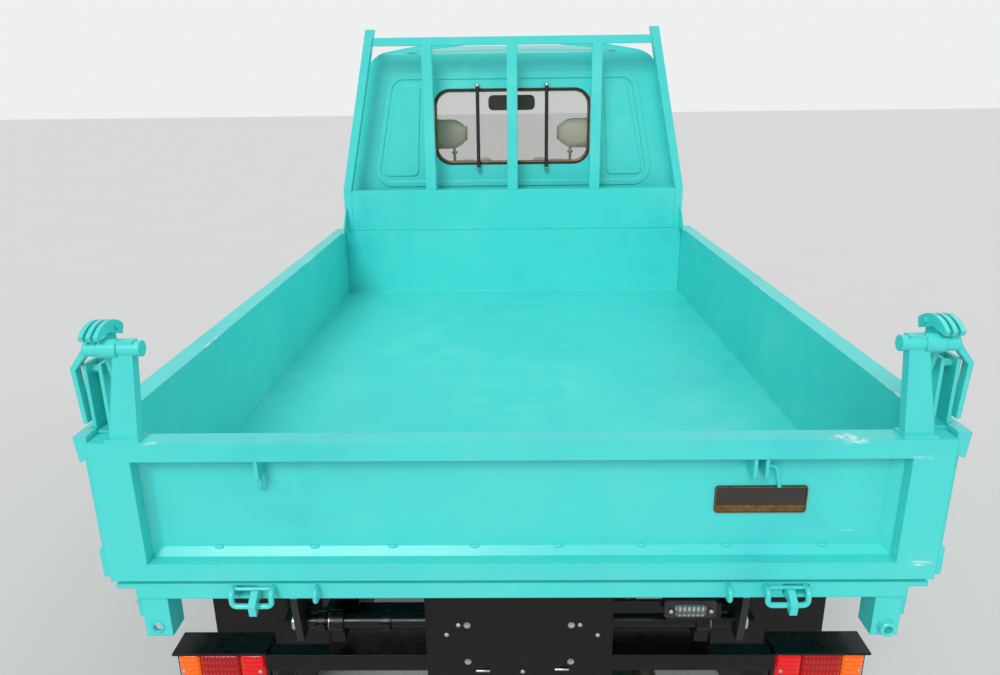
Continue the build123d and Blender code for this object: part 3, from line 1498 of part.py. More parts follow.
nodes = {
    "chassis_frame": chassis_frame,
    "cab_floor": cab_floor,
    "seat_deck": seat_deck,
    "cab_front_panel": cab_front_panel,
    "cab_sides": cab_sides,
    "cab_roof": cab_roof,
    "cab_rear_panel": cab_rear_panel,
    "cab_windows": cab_windows,
    "window_guard_bars": window_guard_bars,
    "front_bumper": front_bumper,
    "headlamps": headlamps,
    "dashboard": dashboard,
    "steering_wheel": steering_wheel,
    "seats": seats,
    "power_unit": power_unit,
    "front_suspension": front_suspension,
    "rear_axle": rear_axle,
    "fuel_tank": fuel_tank,
    "exhaust": exhaust,
    "rear_carrier": rear_carrier,
    "tail_lamps": tail_lamps,
    "knuckle_left": knuckle_left,
    "knuckle_right": knuckle_right,
    "door_left": door_left,
    "door_right": door_right,
    "door_glass_left": door_glass_left,
    "door_glass_right": door_glass_right,
    "mirror_left": mirror_left,
    "mirror_right": mirror_right,
    "bed_floor": bed_floor,
    "bed_sides": bed_sides,
    "bed_front_wall": bed_front_wall,
    "guard_frame": guard_frame,
    "gate_locks": gate_locks,
    "tailgate": tailgate,
    "hoist_barrel": hoist_barrel,
    "hoist_rod": hoist_rod,
}
nodes.update(wheels)

for label, piece in nodes.items():
    piece.part.label = label
    export_step(piece.part, f"parts/{label}.step")
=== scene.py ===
import math

import bmesh
import bpy
from mathutils import Euler, Matrix, Vector


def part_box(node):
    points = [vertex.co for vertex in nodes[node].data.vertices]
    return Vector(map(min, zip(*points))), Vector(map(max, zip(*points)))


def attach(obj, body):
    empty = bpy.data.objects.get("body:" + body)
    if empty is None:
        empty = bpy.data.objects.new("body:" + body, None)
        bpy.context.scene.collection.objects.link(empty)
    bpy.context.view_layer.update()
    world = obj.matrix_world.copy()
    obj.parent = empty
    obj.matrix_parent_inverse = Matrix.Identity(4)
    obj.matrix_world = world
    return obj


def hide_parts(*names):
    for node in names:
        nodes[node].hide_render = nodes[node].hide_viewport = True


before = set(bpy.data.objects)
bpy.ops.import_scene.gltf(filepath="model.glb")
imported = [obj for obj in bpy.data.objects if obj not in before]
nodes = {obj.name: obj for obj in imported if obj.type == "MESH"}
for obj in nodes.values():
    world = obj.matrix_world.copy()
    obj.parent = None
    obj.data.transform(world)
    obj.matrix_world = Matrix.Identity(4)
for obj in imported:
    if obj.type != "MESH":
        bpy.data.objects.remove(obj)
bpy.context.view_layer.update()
print("frame loaded:", len(nodes), "nodes")

scene = bpy.context.scene

# Places that the CAD gives, in metres: +Y forwards, +X to the driver's right
truck = {
    "recessFloor": -1.582,
    "cabRear": 0.435,
    "doorFace": 0.690,
    "frontAxle": 1.0075,
    "rearAxle": -0.8925,
    "tyreRadius": 0.270,
    "screen": {"foot": 1.592, "low": 0.985, "lean": 0.504, "normal": (0, 0.893, 0.450)},
    "pane": {"foot": 0.686, "low": 1.005, "lean": 0.2198, "normal": (0.9767, 0, 0.2147)},
    "nose": {"middle": 0.7525, "half": 0.2325, "foremost": 1.620, "lean": 0.015, "crown": 0.013,
             "flat": 0.570, "corner": 0.120, "face": 1.622},
}


# Small helpers for meshes

def addObject(name, mesh, finish=None):
    made = bpy.data.objects.new(name, mesh)
    scene.collection.objects.link(made)
    if finish:
        mesh.materials.clear()
        mesh.materials.append(finish)
    return made


def closeMesh(bm, name, finish, smooth=40, keepSides=False):
    bmesh.ops.remove_doubles(bm, verts=bm.verts, dist=1e-6)
    if not keepSides:
        bmesh.ops.recalc_face_normals(bm, faces=bm.faces)
    mesh = bpy.data.meshes.new(name)
    bm.to_mesh(mesh)
    bm.free()
    if smooth:
        mesh.shade_smooth()
        mesh.set_sharp_from_angle(angle=math.radians(smooth))
    return addObject(name, mesh, finish)


def evaluated(piece):
    return bpy.data.meshes.new_from_object(piece.evaluated_get(bpy.context.evaluated_depsgraph_get()))


def settle(piece, body, slot, *replaced):
    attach(piece, body)
    if replaced:
        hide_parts(*replaced)
    return piece


def dress(bm, name, finish, body, slot, *replaced, smooth=40):
    return settle(closeMesh(bm, name, finishes[finish], smooth=smooth), body, slot, *replaced)


def addBox(bm, low, high, bevel=0.0, steps=2, turn=None):
    size = [high[i] - low[i] for i in range(3)]
    middle = Vector([(high[i] + low[i]) / 2 for i in range(3)])
    made = bmesh.ops.create_cube(bm, size=1.0)["verts"]
    bmesh.ops.scale(bm, vec=size, verts=made)
    if bevel:
        edges = list(dict.fromkeys(e for v in made for e in v.link_edges))
        done = bmesh.ops.bevel(bm, geom=edges, offset=bevel, segments=steps, profile=0.5, affect="EDGES")
        made = list({v for f in done["faces"] for v in f.verts} | {v for v in made if v.is_valid})
    if turn:
        bmesh.ops.rotate(bm, cent=Vector(), matrix=Euler(turn).to_matrix(), verts=made)
    bmesh.ops.translate(bm, vec=middle, verts=made)


def addRound(bm, start, end, radius, endRadius=None, sides=24, bevel=0.0):
    start, end = Vector(start), Vector(end)
    along = end - start
    turn = along.to_track_quat("Z", "Y").to_matrix().to_4x4()
    made = bmesh.ops.create_cone(
        bm, cap_ends=True, segments=sides, radius1=radius, radius2=radius if endRadius is None else endRadius,
        depth=along.length, matrix=Matrix.Translation((start + end) / 2) @ turn,
    )["verts"]
    if bevel:
        edges = dict.fromkeys(e for v in made for e in v.link_edges)
        rims = [e for e in edges if any(len(f.verts) > 4 for f in e.link_faces)]
        bmesh.ops.bevel(bm, geom=rims, offset=bevel, segments=2, profile=0.5, affect="EDGES")


# Faces from each ring of points to the next, and back to the first if closed
def skin(bm, rings, closed=False):
    pairs = list(zip(rings, rings[1:]))
    if closed:
        pairs.append((rings[-1], rings[0]))
    for first, second in pairs:
        for i in range(len(first)):
            j = (i + 1) % len(first)
            bm.faces.new((first[i], first[j], second[j], second[i]))
    return rings


def capEnds(bm, rings):
    bm.faces.new(rings[0])
    bm.faces.new(rings[-1])


# A turned shape: (distance out, distance along) points round an axis
def addTurned(bm, profile, centre, axis, steps=48, closed=True):
    axis = Vector(axis).normalized()
    side = axis.orthogonal().normalized()
    other = axis.cross(side)
    rings = []
    for out, along in profile:
        ring = []
        for i in range(steps):
            angle = 2 * math.pi * i / steps
            point = Vector(centre) + axis * along + (side * math.cos(angle) + other * math.sin(angle)) * out
            ring.append(bm.verts.new(point))
        rings.append(ring)
    return skin(bm, rings, closed)


# A polygon drawn in by inset, with its corners rounded; every result has the same number of points
def roundedOutline(points, radius, inset=0.0, steps=8):
    count = len(points)
    area = sum(points[i][0] * points[(i + 1) % count][1] - points[(i + 1) % count][0] * points[i][1]
               for i in range(count))
    turn = 1 if area > 0 else -1
    lines = []
    for i in range(count):
        a, b = Vector(points[i]), Vector(points[(i + 1) % count])
        way = (b - a).normalized()
        inward = Vector((-way.y, way.x)) * turn
        lines.append((a + inward * inset, way))
    corners = []
    for i in range(count):
        (p, d), (q, e) = lines[i - 1], lines[i]
        cross = d.x * e.y - d.y * e.x
        gap = q - p
        corners.append(p + d * ((gap.x * e.y - gap.y * e.x) / cross))
    outline = []
    for i in range(count):
        corner = corners[i]
        back = (corners[i - 1] - corner).normalized()
        ahead = (corners[(i + 1) % count] - corner).normalized()
        half = back.angle(ahead) / 2
        bend = max(radius - inset, 0.0008)
        reach = bend / math.tan(half)
        middle = corner + (back + ahead).normalized() * (bend / math.sin(half))
        first = corner + back * reach - middle
        sweep = first.angle_signed(corner + ahead * reach - middle)
        for k in range(steps + 1):
            outline.append(middle + Matrix.Rotation(-sweep * k / steps, 2) @ first)
    return outline


# A frame that follows an outline: (inset, height) pairs round its section, placed by a function
def addFrame(bm, points, radius, section, place, steps=8, closed=True):
    rings = []
    for inset, height in section:
        outline = roundedOutline(points, radius, inset, steps)
        rings.append([bm.verts.new(place(p.x, p.y, height)) for p in outline])
    return skin(bm, rings, closed)


# Rings that step inwards from an outline, closed at both ends
def addLid(bm, points, radius, section, place, steps=6):
    capEnds(bm, addFrame(bm, points, radius, section, place, steps, closed=False))


# A flat piece cut to an outline, with an eased outer edge
def addPlate(bm, points, radius, low, high, place, bevel):
    section = ((0, low), (0, high - bevel), (bevel * 0.3, high - bevel * 0.3), (bevel, high))
    addLid(bm, points, radius, section, place)


def rectangle(low, high):
    return [(low[0], low[1]), (high[0], low[1]), (high[0], high[1]), (low[0], high[1])]


# The same on one side of the middle, with its measures given for the right
def sideRectangle(side, low, high):
    left, right = sorted((side * low[0], side * high[0]))
    return rectangle((left, low[1]), (right, high[1]))


def smoothPath(points, corner, steps=6):
    path = [Vector(points[0])]
    for before, at, after in zip(points, points[1:], points[2:]):
        before, at, after = Vector(before), Vector(at), Vector(after)
        reach = min(corner, (before - at).length * 0.45, (after - at).length * 0.45)
        first = at + (before - at).normalized() * reach
        last = at + (after - at).normalized() * reach
        for k in range(steps + 1):
            t = k / steps
            path.append(first.lerp(at, t).lerp(at.lerp(last, t), t))
    path.append(Vector(points[-1]))
    return path


def mirrored(source, name, finish):
    mesh = source.data.copy()
    mesh.name = name
    mesh.transform(Matrix.Scale(-1, 4, (1, 0, 0)))
    mesh.flip_normals()
    return addObject(name, mesh, finish)


# Surfaces that outlines are laid on: two measures along them, and a height off them

def rearPlace(y):
    return lambda x, z, height: (x, y - height, z)


def frontPlace(y):
    return lambda x, z, height: (x, y + height, z)


def sidePlace(x, way):
    return lambda y, z, height: (x + way * height, y, z)


def underPlace(z):
    return lambda x, y, height: (x, y, z - height)


def screenPlace(x, z, height):
    at = truck["screen"]
    _, ahead, up = at["normal"]
    return (x, at["foot"] - at["lean"] * (z - at["low"]) + ahead * height, z + up * height)


def panePlace(side):
    at = truck["pane"]
    out, _, up = at["normal"]

    def place(y, z, height):
        x = at["foot"] - at["lean"] * (z - at["low"]) + out * height
        return (side * x, y, z + up * height)

    return place


def nosePlace(x, z, height):
    at = truck["nose"]
    t = (z - at["middle"]) / at["half"]
    past = min(max(abs(x) - at["flat"], 0), at["corner"] - 0.001)
    drop = at["corner"] - math.sqrt(at["corner"] ** 2 - past ** 2)
    return (x, min(at["foremost"] - at["lean"] * t - at["crown"] * t * t, at["face"] - drop) + height, z)


# Small helpers for node trees

# Sets a socket, or links it if the value is another node's output
def feed(socket, value):
    if isinstance(value, bpy.types.NodeSocket):
        socket.id_data.links.new(value, socket)
    else:
        socket.default_value = value


# A shade out of 255 as the linear colour that a socket takes
def tone(shade):
    parts = [value / 255 for value in shade]
    return (*(v / 12.92 if v <= 0.04045 else ((v + 0.055) / 1.055) ** 2.4 for v in parts), 1.0)


def startFinish(name, roughness=0.5, metallic=0.0, coat=0.0, coatRoughness=0.06, specular=0.5):
    finish = bpy.data.materials.new(name)
    finish.use_nodes = True
    shader = finish.node_tree.nodes["Principled BSDF"].inputs
    for title, value in (("Roughness", roughness), ("Metallic", metallic), ("Coat Weight", coat),
                         ("Coat Roughness", coatRoughness), ("Specular IOR Level", specular)):
        shader[title].default_value = value
    return finish, shader, finish.node_tree.nodes.new("ShaderNodeTexCoord").outputs["Object"]


def grainOf(coords, scale, detail=4.0, stretch=None, roughness=0.55):
    tree = coords.id_data
    if stretch:
        mapping = tree.nodes.new("ShaderNodeMapping")
        mapping.inputs["Scale"].default_value = stretch
        feed(mapping.inputs["Vector"], coords)
        coords = mapping.outputs["Vector"]
    noise = tree.nodes.new("ShaderNodeTexNoise")
    for title, value in (("Scale", scale), ("Detail", detail), ("Roughness", roughness), ("Vector", coords)):
        feed(noise.inputs[title], value)
    return noise.outputs["Fac"]


def rangeOf(value, low, high, outLow=0.0, outHigh=1.0, smooth=False):
    mapped = value.id_data.nodes.new("ShaderNodeMapRange")
    mapped.interpolation_type = "SMOOTHSTEP" if smooth else "LINEAR"
    for title, number in (("Value", value), ("From Min", low), ("From Max", high), ("To Min", outLow),
                          ("To Max", outHigh)):
        feed(mapped.inputs[title], number)
    return mapped.outputs["Result"]


# Noise by its name in a finish's own table: scale, detail, and the span of it that counts
def layerOf(coords, row, outLow=0.0, outHigh=1.0, **grain):
    scale, detail, low, high = row
    return rangeOf(grainOf(coords, scale, detail, **grain), low, high, outLow, outHigh)


def mathOf(operation, first, second):
    made = first.id_data.nodes.new("ShaderNodeMath")
    made.operation = operation
    feed(made.inputs[0], first)
    feed(made.inputs[1], second)
    return made.outputs["Value"]


# Adds to one value a share of another
def raised(value, share, by):
    return mathOf("ADD", value, mathOf("MULTIPLY", share, by))


# Mixes two colours: another node's, a shade out of 255, or a linear colour with its alpha
def mixOf(factor, first, second):
    mix = factor.id_data.nodes.new("ShaderNodeMix")
    mix.data_type = "RGBA"
    feed(mix.inputs["Factor"], factor)
    for title, value in (("A", first), ("B", second)):
        if isinstance(value, tuple) and len(value) == 3:
            value = tone(value)
        feed(next(s for s in mix.inputs if s.name == title and s.type == "RGBA"), value)
    return next(s for s in mix.outputs if s.type == "RGBA")


def bumpOf(shader, height, strength, distance, normal=None):
    bump = height.id_data.nodes.new("ShaderNodeBump")
    for title, value in (("Strength", strength), ("Distance", distance), ("Height", height)):
        feed(bump.inputs[title], value)
    if normal:
        feed(bump.inputs["Normal"], normal)
    feed(shader["Normal"], bump.outputs["Normal"])


def softEdge(coords, radius):
    edge = coords.id_data.nodes.new("ShaderNodeBevel")
    edge.samples = 4
    edge.inputs["Radius"].default_value = radius
    return edge.outputs["Normal"]


# Marks near listed places: (centre, reach along each axis) pairs
def nearSpots(coords, spots):
    total = None
    for centre, reach in spots:
        apart = coords
        for operation, operand in (("SUBTRACT", centre), ("DIVIDE", reach), ("LENGTH", None)):
            step = coords.id_data.nodes.new("ShaderNodeVectorMath")
            step.operation = operation
            feed(step.inputs[0], apart)
            if operand:
                step.inputs[1].default_value = operand
            apart = step.outputs["Vector" if operand else "Value"]
        near = rangeOf(apart, 1.0, 0.4, smooth=True)
        total = near if total is None else mathOf("MAXIMUM", total, near)
    return total


# Finishes

paint = {
    "light": (114, 236, 224),
    "base": (70, 219, 215),
    "deep": (34, 194, 202),
    "primer": (226, 238, 236),
    "dirt": (118, 132, 122),
    # painted shade: the black laid on the bed's underside, where shadow falls
    "black": (16, 17, 18),
    "rough": 0.24,
    "edge": 0.0022,
    "cloud": (2.3, 3.0, 0.3, 0.7),
    "patches": (11.0, 5.0, 0.1, 0.6),
    "specks": (260.0, 3.0, 0.60, 0.78),
    "sheen": (18.0, 6.0, 0.3, 0.75),
    "streaks": (26.0, 8.0, 0.62, 0.70),
    "chips": (70.0, 9.0, 0.50, 0.58),
    "grime": (9.0, 7.0, 0.35, 0.7),
    "grimeTall": 0.3,
    # painted shade: half-width of the black laid under the bed
    "blackHalf": 0.55,
}


def makePaint(name, scuffs=0.0, spots=(), rough=paint["rough"], dust=0.03, dirtBelow=None, coat=0.35,
              blackBelow=None):
    finish, shader, coords = startFinish(name, rough, coat=coat, coatRoughness=0.1)
    colour = mixOf(layerOf(coords, paint["cloud"]), paint["deep"], paint["light"])
    colour = mixOf(layerOf(coords, paint["patches"]), colour, paint["base"])
    colour = mixOf(layerOf(coords, paint["specks"], 0.0, dust), colour, paint["light"])
    roughness = layerOf(coords, paint["sheen"], rough - 0.02, rough + 0.06)
    split = coords.id_data.nodes.new("ShaderNodeSeparateXYZ")
    feed(split.inputs["Vector"], coords)
    if scuffs:
        rubbed = layerOf(coords, paint["streaks"], 0.0, scuffs, stretch=(0.7, 3.0, 5.0), roughness=0.7)
        colour = mixOf(rubbed, colour, paint["light"])
        roughness = raised(roughness, rubbed, 0.35)
    if spots:
        chips = layerOf(coords, paint["chips"], stretch=(0.5, 0.5, 2.6), roughness=0.75)
        chips = mathOf("MULTIPLY", chips, nearSpots(coords, spots))
        colour = mixOf(chips, colour, paint["primer"])
        roughness = raised(roughness, chips, 0.4)
    if dirtBelow:
        low = rangeOf(split.outputs["Z"], dirtBelow, dirtBelow - paint["grimeTall"], 0.0, 0.55, smooth=True)
        grime = mathOf("MULTIPLY", low, layerOf(coords, paint["grime"]))
        colour = mixOf(grime, colour, paint["dirt"])
        roughness = raised(roughness, grime, 0.4)
    # Painted shade: below this height and near the middle, the floor is painted black, standing in for the
    # shadow under the bed
    if blackBelow:
        under = mathOf("LESS_THAN", split.outputs["Z"], blackBelow)
        within = mathOf("LESS_THAN", mathOf("ABSOLUTE", split.outputs["X"], 0.0), paint["blackHalf"])
        colour = mixOf(mathOf("MULTIPLY", under, within), colour, paint["black"])
    feed(shader["Base Color"], colour)
    feed(shader["Roughness"], roughness)
    bumpOf(shader, grainOf(coords, 420.0, 2.0), 0.02, 0.0003, softEdge(coords, paint["edge"]))
    return finish


coating = {
    "cloud": (7.0, 6.0, 0.3, 0.75),
    "dust": (34.0, 9.0, 0.54, 0.8),
    "sheen": (48.0, 4.0, 0.3, 0.7),
}


# Grained or rough finishes, told apart by their shades and the size of their grain
def makeCoated(name, shade, lift, rough, grainScale, grainDepth, metallic=0.0, coat=0.0, dust=None,
               edge=0.0015, specular=0.5):
    finish, shader, coords = startFinish(name, rough, metallic=metallic, coat=coat, specular=specular)
    colour = mixOf(layerOf(coords, coating["cloud"]), shade, lift)
    if dust:
        colour = mixOf(layerOf(coords, coating["dust"], 0.0, 0.35, roughness=0.7), colour, dust)
    feed(shader["Base Color"], colour)
    feed(shader["Roughness"], layerOf(coords, coating["sheen"], max(rough - 0.1, 0.05), rough + 0.1))
    normal = softEdge(coords, edge) if edge else None
    bumpOf(shader, grainOf(coords, grainScale, 3.0), grainDepth, 0.0006, normal)
    return finish


def makeMetal(name, shade, lift, rough, brushed=(1, 1, 1), heat=None, scale=60.0, depth=0.08):
    finish, shader, coords = startFinish(name, rough, metallic=1.0)
    lines = grainOf(coords, scale, 6.0, stretch=brushed)
    colour = mixOf(rangeOf(lines, 0.25, 0.75), shade, lift)
    if heat:
        colour = mixOf(layerOf(coords, (6.0, 4.0, 0.42, 0.68), 0.0, 0.8), colour, heat)
    feed(shader["Base Color"], colour)
    feed(shader["Roughness"], rangeOf(lines, 0.2, 0.8, max(rough - 0.08, 0.03), rough + 0.12))
    bumpOf(shader, lines, depth, 0.0004)
    return finish


# Thin panes let light pass by their alpha, and the lamps' glass bends it
def makeGlass(name, tint, rough=0.02, smear=0.05, clear=None):
    finish, shader, coords = startFinish(name, rough)
    if clear:
        glance = coords.id_data.nodes.new("ShaderNodeLayerWeight")
        glance.inputs["Blend"].default_value = 0.5
        feed(shader["Alpha"], rangeOf(glance.outputs["Facing"], 0.3, 1.0, clear, 0.8))
    else:
        shader["Transmission Weight"].default_value = 1.0
        shader["IOR"].default_value = 1.45
    feed(shader["Roughness"], layerOf(coords, (5.0, 6.0, 0.4, 0.8), rough, rough + smear))
    pale = tuple(min(255, c + 10) for c in tint)
    feed(shader["Base Color"], mixOf(layerOf(coords, (3.0, 2.0, 0.3, 0.7)), tint, pale))
    return finish


# A moulded lens: coloured plastic with fine upright flutes and a cross ribbing, and, where given, a painted
# glow in its own colour
def makeLens(name, shade, deep, flutes=420.0, depth=0.5, glow=0.0):
    finish, shader, coords = startFinish(name, 0.16, coat=0.2, specular=0.3)
    shader["Transmission Weight"].default_value = 0.06
    waves = []
    for direction, per in (("X", 6.28), ("Z", 12.0)):
        wave = coords.id_data.nodes.new("ShaderNodeTexWave")
        wave.bands_direction = direction
        wave.inputs["Scale"].default_value = flutes / per
        feed(wave.inputs["Vector"], coords)
        waves.append(wave.outputs["Fac"])
    weave = mathOf("MULTIPLY", *waves)
    colour = mixOf(rangeOf(weave, 0.05, 0.8), deep, shade)
    feed(shader["Base Color"], colour)
    # Painted light: the lens glows faintly in its own colour
    if glow:
        feed(shader["Emission Color"], colour)
        shader["Emission Strength"].default_value = glow
    bumpOf(shader, weave, depth, 0.0006)
    return finish


def makeVinyl(name, shade, lift):
    finish, shader, coords = startFinish(name, 0.5)
    shader["Sheen Weight"].default_value = 0.15
    pores = coords.id_data.nodes.new("ShaderNodeTexVoronoi")
    pores.inputs["Scale"].default_value = 620.0
    feed(pores.inputs["Vector"], coords)
    weave = grainOf(coords, 240.0, 4.0)
    colour = mixOf(rangeOf(weave, 0.3, 0.7), shade, lift)
    soiled = tuple(int(c * 0.86) for c in shade)
    feed(shader["Base Color"], mixOf(layerOf(coords, (6.0, 5.0, 0.4, 0.8), 0.0, 0.5), colour, soiled))
    feed(shader["Roughness"], rangeOf(weave, 0.3, 0.7, 0.42, 0.62))
    bumpOf(shader, pores.outputs["Distance"], 0.35, 0.0005)
    return finish


def makeRubber(name, shade, lift, dust):
    finish, shader, coords = startFinish(name, 0.75)
    cloud = grainOf(coords, 14.0, 7.0)
    colour = mixOf(rangeOf(cloud, 0.3, 0.75), shade, lift)
    feed(shader["Base Color"], mixOf(layerOf(coords, (90.0, 6.0, 0.58, 0.8), 0.0, 0.35), colour, dust))
    feed(shader["Roughness"], rangeOf(cloud, 0.3, 0.7, 0.62, 0.9))
    rings = coords.id_data.nodes.new("ShaderNodeTexWave")
    rings.bands_direction = "Y"
    rings.inputs["Scale"].default_value = 30.0
    feed(rings.inputs["Vector"], coords.node.outputs["UV"])
    height = mathOf("ADD", mathOf("MULTIPLY", rings.outputs["Fac"], 0.5), grainOf(coords, 300.0, 3.0))
    bumpOf(shader, height, 0.3, 0.0008)
    return finish


# Where the paint is chipped
spots = {
    "gate": (
        ((0.499, -1.612, 1.010), (0.040, 0.030, 0.006)),
        ((0.626, -1.614, 0.983), (0.034, 0.020, 0.005)),
        ((0.518, -1.600, 0.836), (0.040, 0.030, 0.005)),
        ((0.632, -1.614, 0.797), (0.028, 0.020, 0.006)),
        ((-0.560, -1.613, 1.0115), (0.020, 0.010, 0.0015)),
    ),
    "wall": tuple(((side * 0.657, y, 1.010), (0.006, reach, 0.003)) for side, y, reach in (
        (-1, -1.10, 0.10), (1, -0.70, 0.16), (-1, -0.25, 0.12), (1, -1.42, 0.08))),
    "lock": tuple(((side * x, y, z), (0.014, 0.014, 0.010)) for side in (-1, 1) for x, y, z in (
        (0.612, -1.600, 1.172), (0.684, -1.590, 1.090), (0.652, -1.560, 1.205))),
}

# What each maker is given for each finish
recipes = (
    (makePaint, {
        "cabPaint": ((), {"rough": 0.30, "dust": 0.0, "coat": 0.25, "dirtBelow": 0.62}),
        "gatePaint": ((), {"scuffs": 0.12, "spots": spots["gate"], "rough": 0.34, "coat": 0.12}),
        "wallPaint": ((), {"scuffs": 0.2, "spots": spots["wall"], "rough": 0.36, "coat": 0.2}),
        # the floor's underside is painted black below this height as painted shade
        "floorPaint": ((), {"scuffs": 0.5, "rough": 0.5, "dust": 0.16, "coat": 0.08, "blackBelow": 0.705}),
        "framePaint": ((), {"scuffs": 0.1}),
        "lockPaint": ((), {"scuffs": 0.1, "spots": spots["lock"]}),
    }),
    (makeCoated, {
        "chassisBlack": (((3, 4, 5), (10, 10, 11), 0.30, 160.0, 0.12),
                         {"coat": 0.06, "specular": 0.28, "dust": (38, 36, 33)}),
        "glossBlack": (((12, 12, 14), (26, 26, 28), 0.22, 300.0, 0.08), {"coat": 0.4, "edge": 0.0008}),
        "grainedBlack": (((28, 29, 31), (48, 48, 50), 0.55, 520.0, 0.5), {}),
        "bumperGrey": (((66, 69, 72), (88, 90, 92), 0.55, 520.0, 0.5), {"dust": (120, 114, 102)}),
        "sealRubber": (((20, 20, 22), (40, 38, 36), 0.62, 240.0, 0.3), {"edge": 0.0}),
        "cabinGrey": (((84, 88, 92), (108, 112, 114), 0.6, 640.0, 0.55), {}),
        "rimSilver": (((168, 172, 176), (198, 201, 204), 0.34, 260.0, 0.15),
                      {"metallic": 0.6, "coat": 0.3, "dust": (120, 108, 92)}),
        "badgeDark": (((34, 26, 22), (52, 42, 34), 0.32, 300.0, 0.12), {"coat": 0.3, "edge": 0.0006}),
        "dialPale": (((200, 198, 188), (222, 220, 210), 0.4, 300.0, 0.05), {"edge": 0.0}),
    }),
    (makeRubber, {"tyreRubber": (((30, 31, 32), (62, 61, 59), (112, 106, 96)), {})}),
    (makeMetal, {
        "castMetal": (((116, 118, 120), (160, 161, 160), 0.5), {"scale": 120.0, "depth": 0.5}),
        "exhaustSteel": (((96, 90, 84), (150, 140, 128), 0.42),
                         {"brushed": (6, 0.6, 6), "heat": (122, 84, 58), "scale": 30.0, "depth": 0.25}),
        "rodChrome": (((200, 204, 208), (232, 234, 236), 0.1),
                      {"brushed": (5, 1, 5), "scale": 80.0, "depth": 0.04}),
        "zinc": (((176, 178, 176), (214, 214, 208), 0.3), {"scale": 90.0, "depth": 0.12}),
        "bronze": (((104, 78, 52), (156, 122, 84), 0.34), {"scale": 70.0, "depth": 0.12}),
        "yellowZinc": (((182, 158, 96), (214, 194, 130), 0.32),
                       {"heat": (196, 182, 150), "scale": 60.0, "depth": 0.15}),
        "mirrorSilver": (((214, 218, 220), (228, 231, 232), 0.04), {"scale": 20.0, "depth": 0.01}),
    }),
    (makeGlass, {
        "headLens": (((240, 244, 244),), {"rough": 0.06, "smear": 0.10}),
        "windowGlass": (((126, 120, 106),), {"clear": 0.11}),
        "clearLens": (((240, 244, 244),), {"rough": 0.05, "smear": 0.08}),
    }),
    (makeLens, {
        "lensRed": (((238, 20, 16), (196, 10, 10)), {"depth": 0.25, "glow": 0.28}),
        "lensDeepRed": (((206, 16, 14), (150, 7, 8)), {"flutes": 300.0, "depth": 0.35, "glow": 0.16}),
        "lensAmber": (((255, 128, 14), (236, 92, 6)), {"depth": 0.3, "glow": 0.24}),
        "lensWhite": (((170, 177, 180), (84, 90, 92)), {"flutes": 260.0, "depth": 0.4}),
    }),
    (makeVinyl, {
        "seatVinyl": (((240, 222, 198), (248, 236, 218)), {}),
        "pipingVinyl": (((190, 170, 146), (206, 188, 164)), {}),
    }),
)
finishes = {}
for maker, rows in recipes:
    for name, (given, named) in rows.items():
        finishes[name] = maker(name, *given, **named)
print("finishes made:", len(finishes))

nodeFinishes = {
    "cabPaint": ("cab_front_panel", "cab_sides", "cab_roof", "cab_rear_panel", "door_left", "door_right",
                 "cab_floor", "seat_deck"),
    "gatePaint": ("tailgate",),
    "wallPaint": ("bed_sides", "bed_front_wall"),
    "floorPaint": ("bed_floor",),
    "framePaint": ("guard_frame",),
    "lockPaint": ("gate_locks",),
    "chassisBlack": ("chassis_frame", "front_suspension", "rear_axle", "rear_carrier", "knuckle_left",
                     "knuckle_right", "fuel_tank", "hoist_barrel"),
    "glossBlack": ("window_guard_bars", "mirror_left", "mirror_right"),
    "grainedBlack": ("steering_wheel",),
    "bumperGrey": ("front_bumper",),
    "cabinGrey": ("dashboard",),
    "rimSilver": ("rim_front_left", "rim_front_right", "rim_rear_left", "rim_rear_right"),
    "tyreRubber": ("tyre_front_left", "tyre_front_right", "tyre_rear_left", "tyre_rear_right"),
    "castMetal": ("power_unit",),
    "exhaustSteel": ("exhaust",),
    "rodChrome": ("hoist_rod",),
    "windowGlass": ("cab_windows", "door_glass_left", "door_glass_right"),
    "clearLens": ("headlamps",),
    "lensRed": ("tail_lamps",),
    "seatVinyl": ("seats",),
}
for finish, names in nodeFinishes.items():
    for name in names:
        carried = nodes[name]
        if not carried.material_slots:
            carried.data.materials.append(None)
        for materialSlot in carried.material_slots:
            materialSlot.link = "OBJECT"
            materialSlot.material = finishes[finish]
print("CAD nodes dressed")


# Geometry Nodes trees

def startTree(name, sockets):
    tree = bpy.data.node_groups.new(name, "GeometryNodeTree")
    tree.interface.new_socket(name="Geometry", in_out="INPUT", socket_type="NodeSocketGeometry")
    for title, kind, value in sockets + (("Finish", "Material", None),):
        socket = tree.interface.new_socket(name=title, in_out="INPUT", socket_type=f"NodeSocket{kind}")
        if value is not None:
            socket.default_value = value
    tree.interface.new_socket(name="Geometry", in_out="OUTPUT", socket_type="NodeSocketGeometry")
    return tree


# The socket of that name which the node has in use, or of that place in its list
def socketOf(sockets, key):
    return sockets[key] if isinstance(key, int) else next(s for s in sockets if s.name == key and s.enabled)


# Joins a tree's nodes, each link given as node, output, node, input, and ends every tree alike
def wire(tree, parts, links, last, smooth=False):
    parts["entry"] = tree.nodes.new("NodeGroupInput")
    parts["leave"] = tree.nodes.new("NodeGroupOutput")
    parts["realize"] = tree.nodes.new("GeometryNodeRealizeInstances")
    parts["dress"] = tree.nodes.new("GeometryNodeSetMaterial")
    links += [(*last, "realize", "Geometry"), ("entry", "Finish", "dress", "Material"),
              ("dress", "Geometry", "leave", "Geometry")]
    if smooth:
        parts["shade"] = tree.nodes.new("GeometryNodeSetShadeSmooth")
        links += [("realize", "Geometry", "shade", "Geometry"), ("shade", "Geometry", "dress", "Geometry")]
    else:
        links.append(("realize", "Geometry", "dress", "Geometry"))
    for source, output, target, entry in links:
        tree.links.new(socketOf(parts[source].outputs, output), socketOf(parts[target].inputs, entry))
    return tree


def addNodes(tree, kinds):
    return {name: tree.nodes.new(kind) for name, kind in kinds.items()}


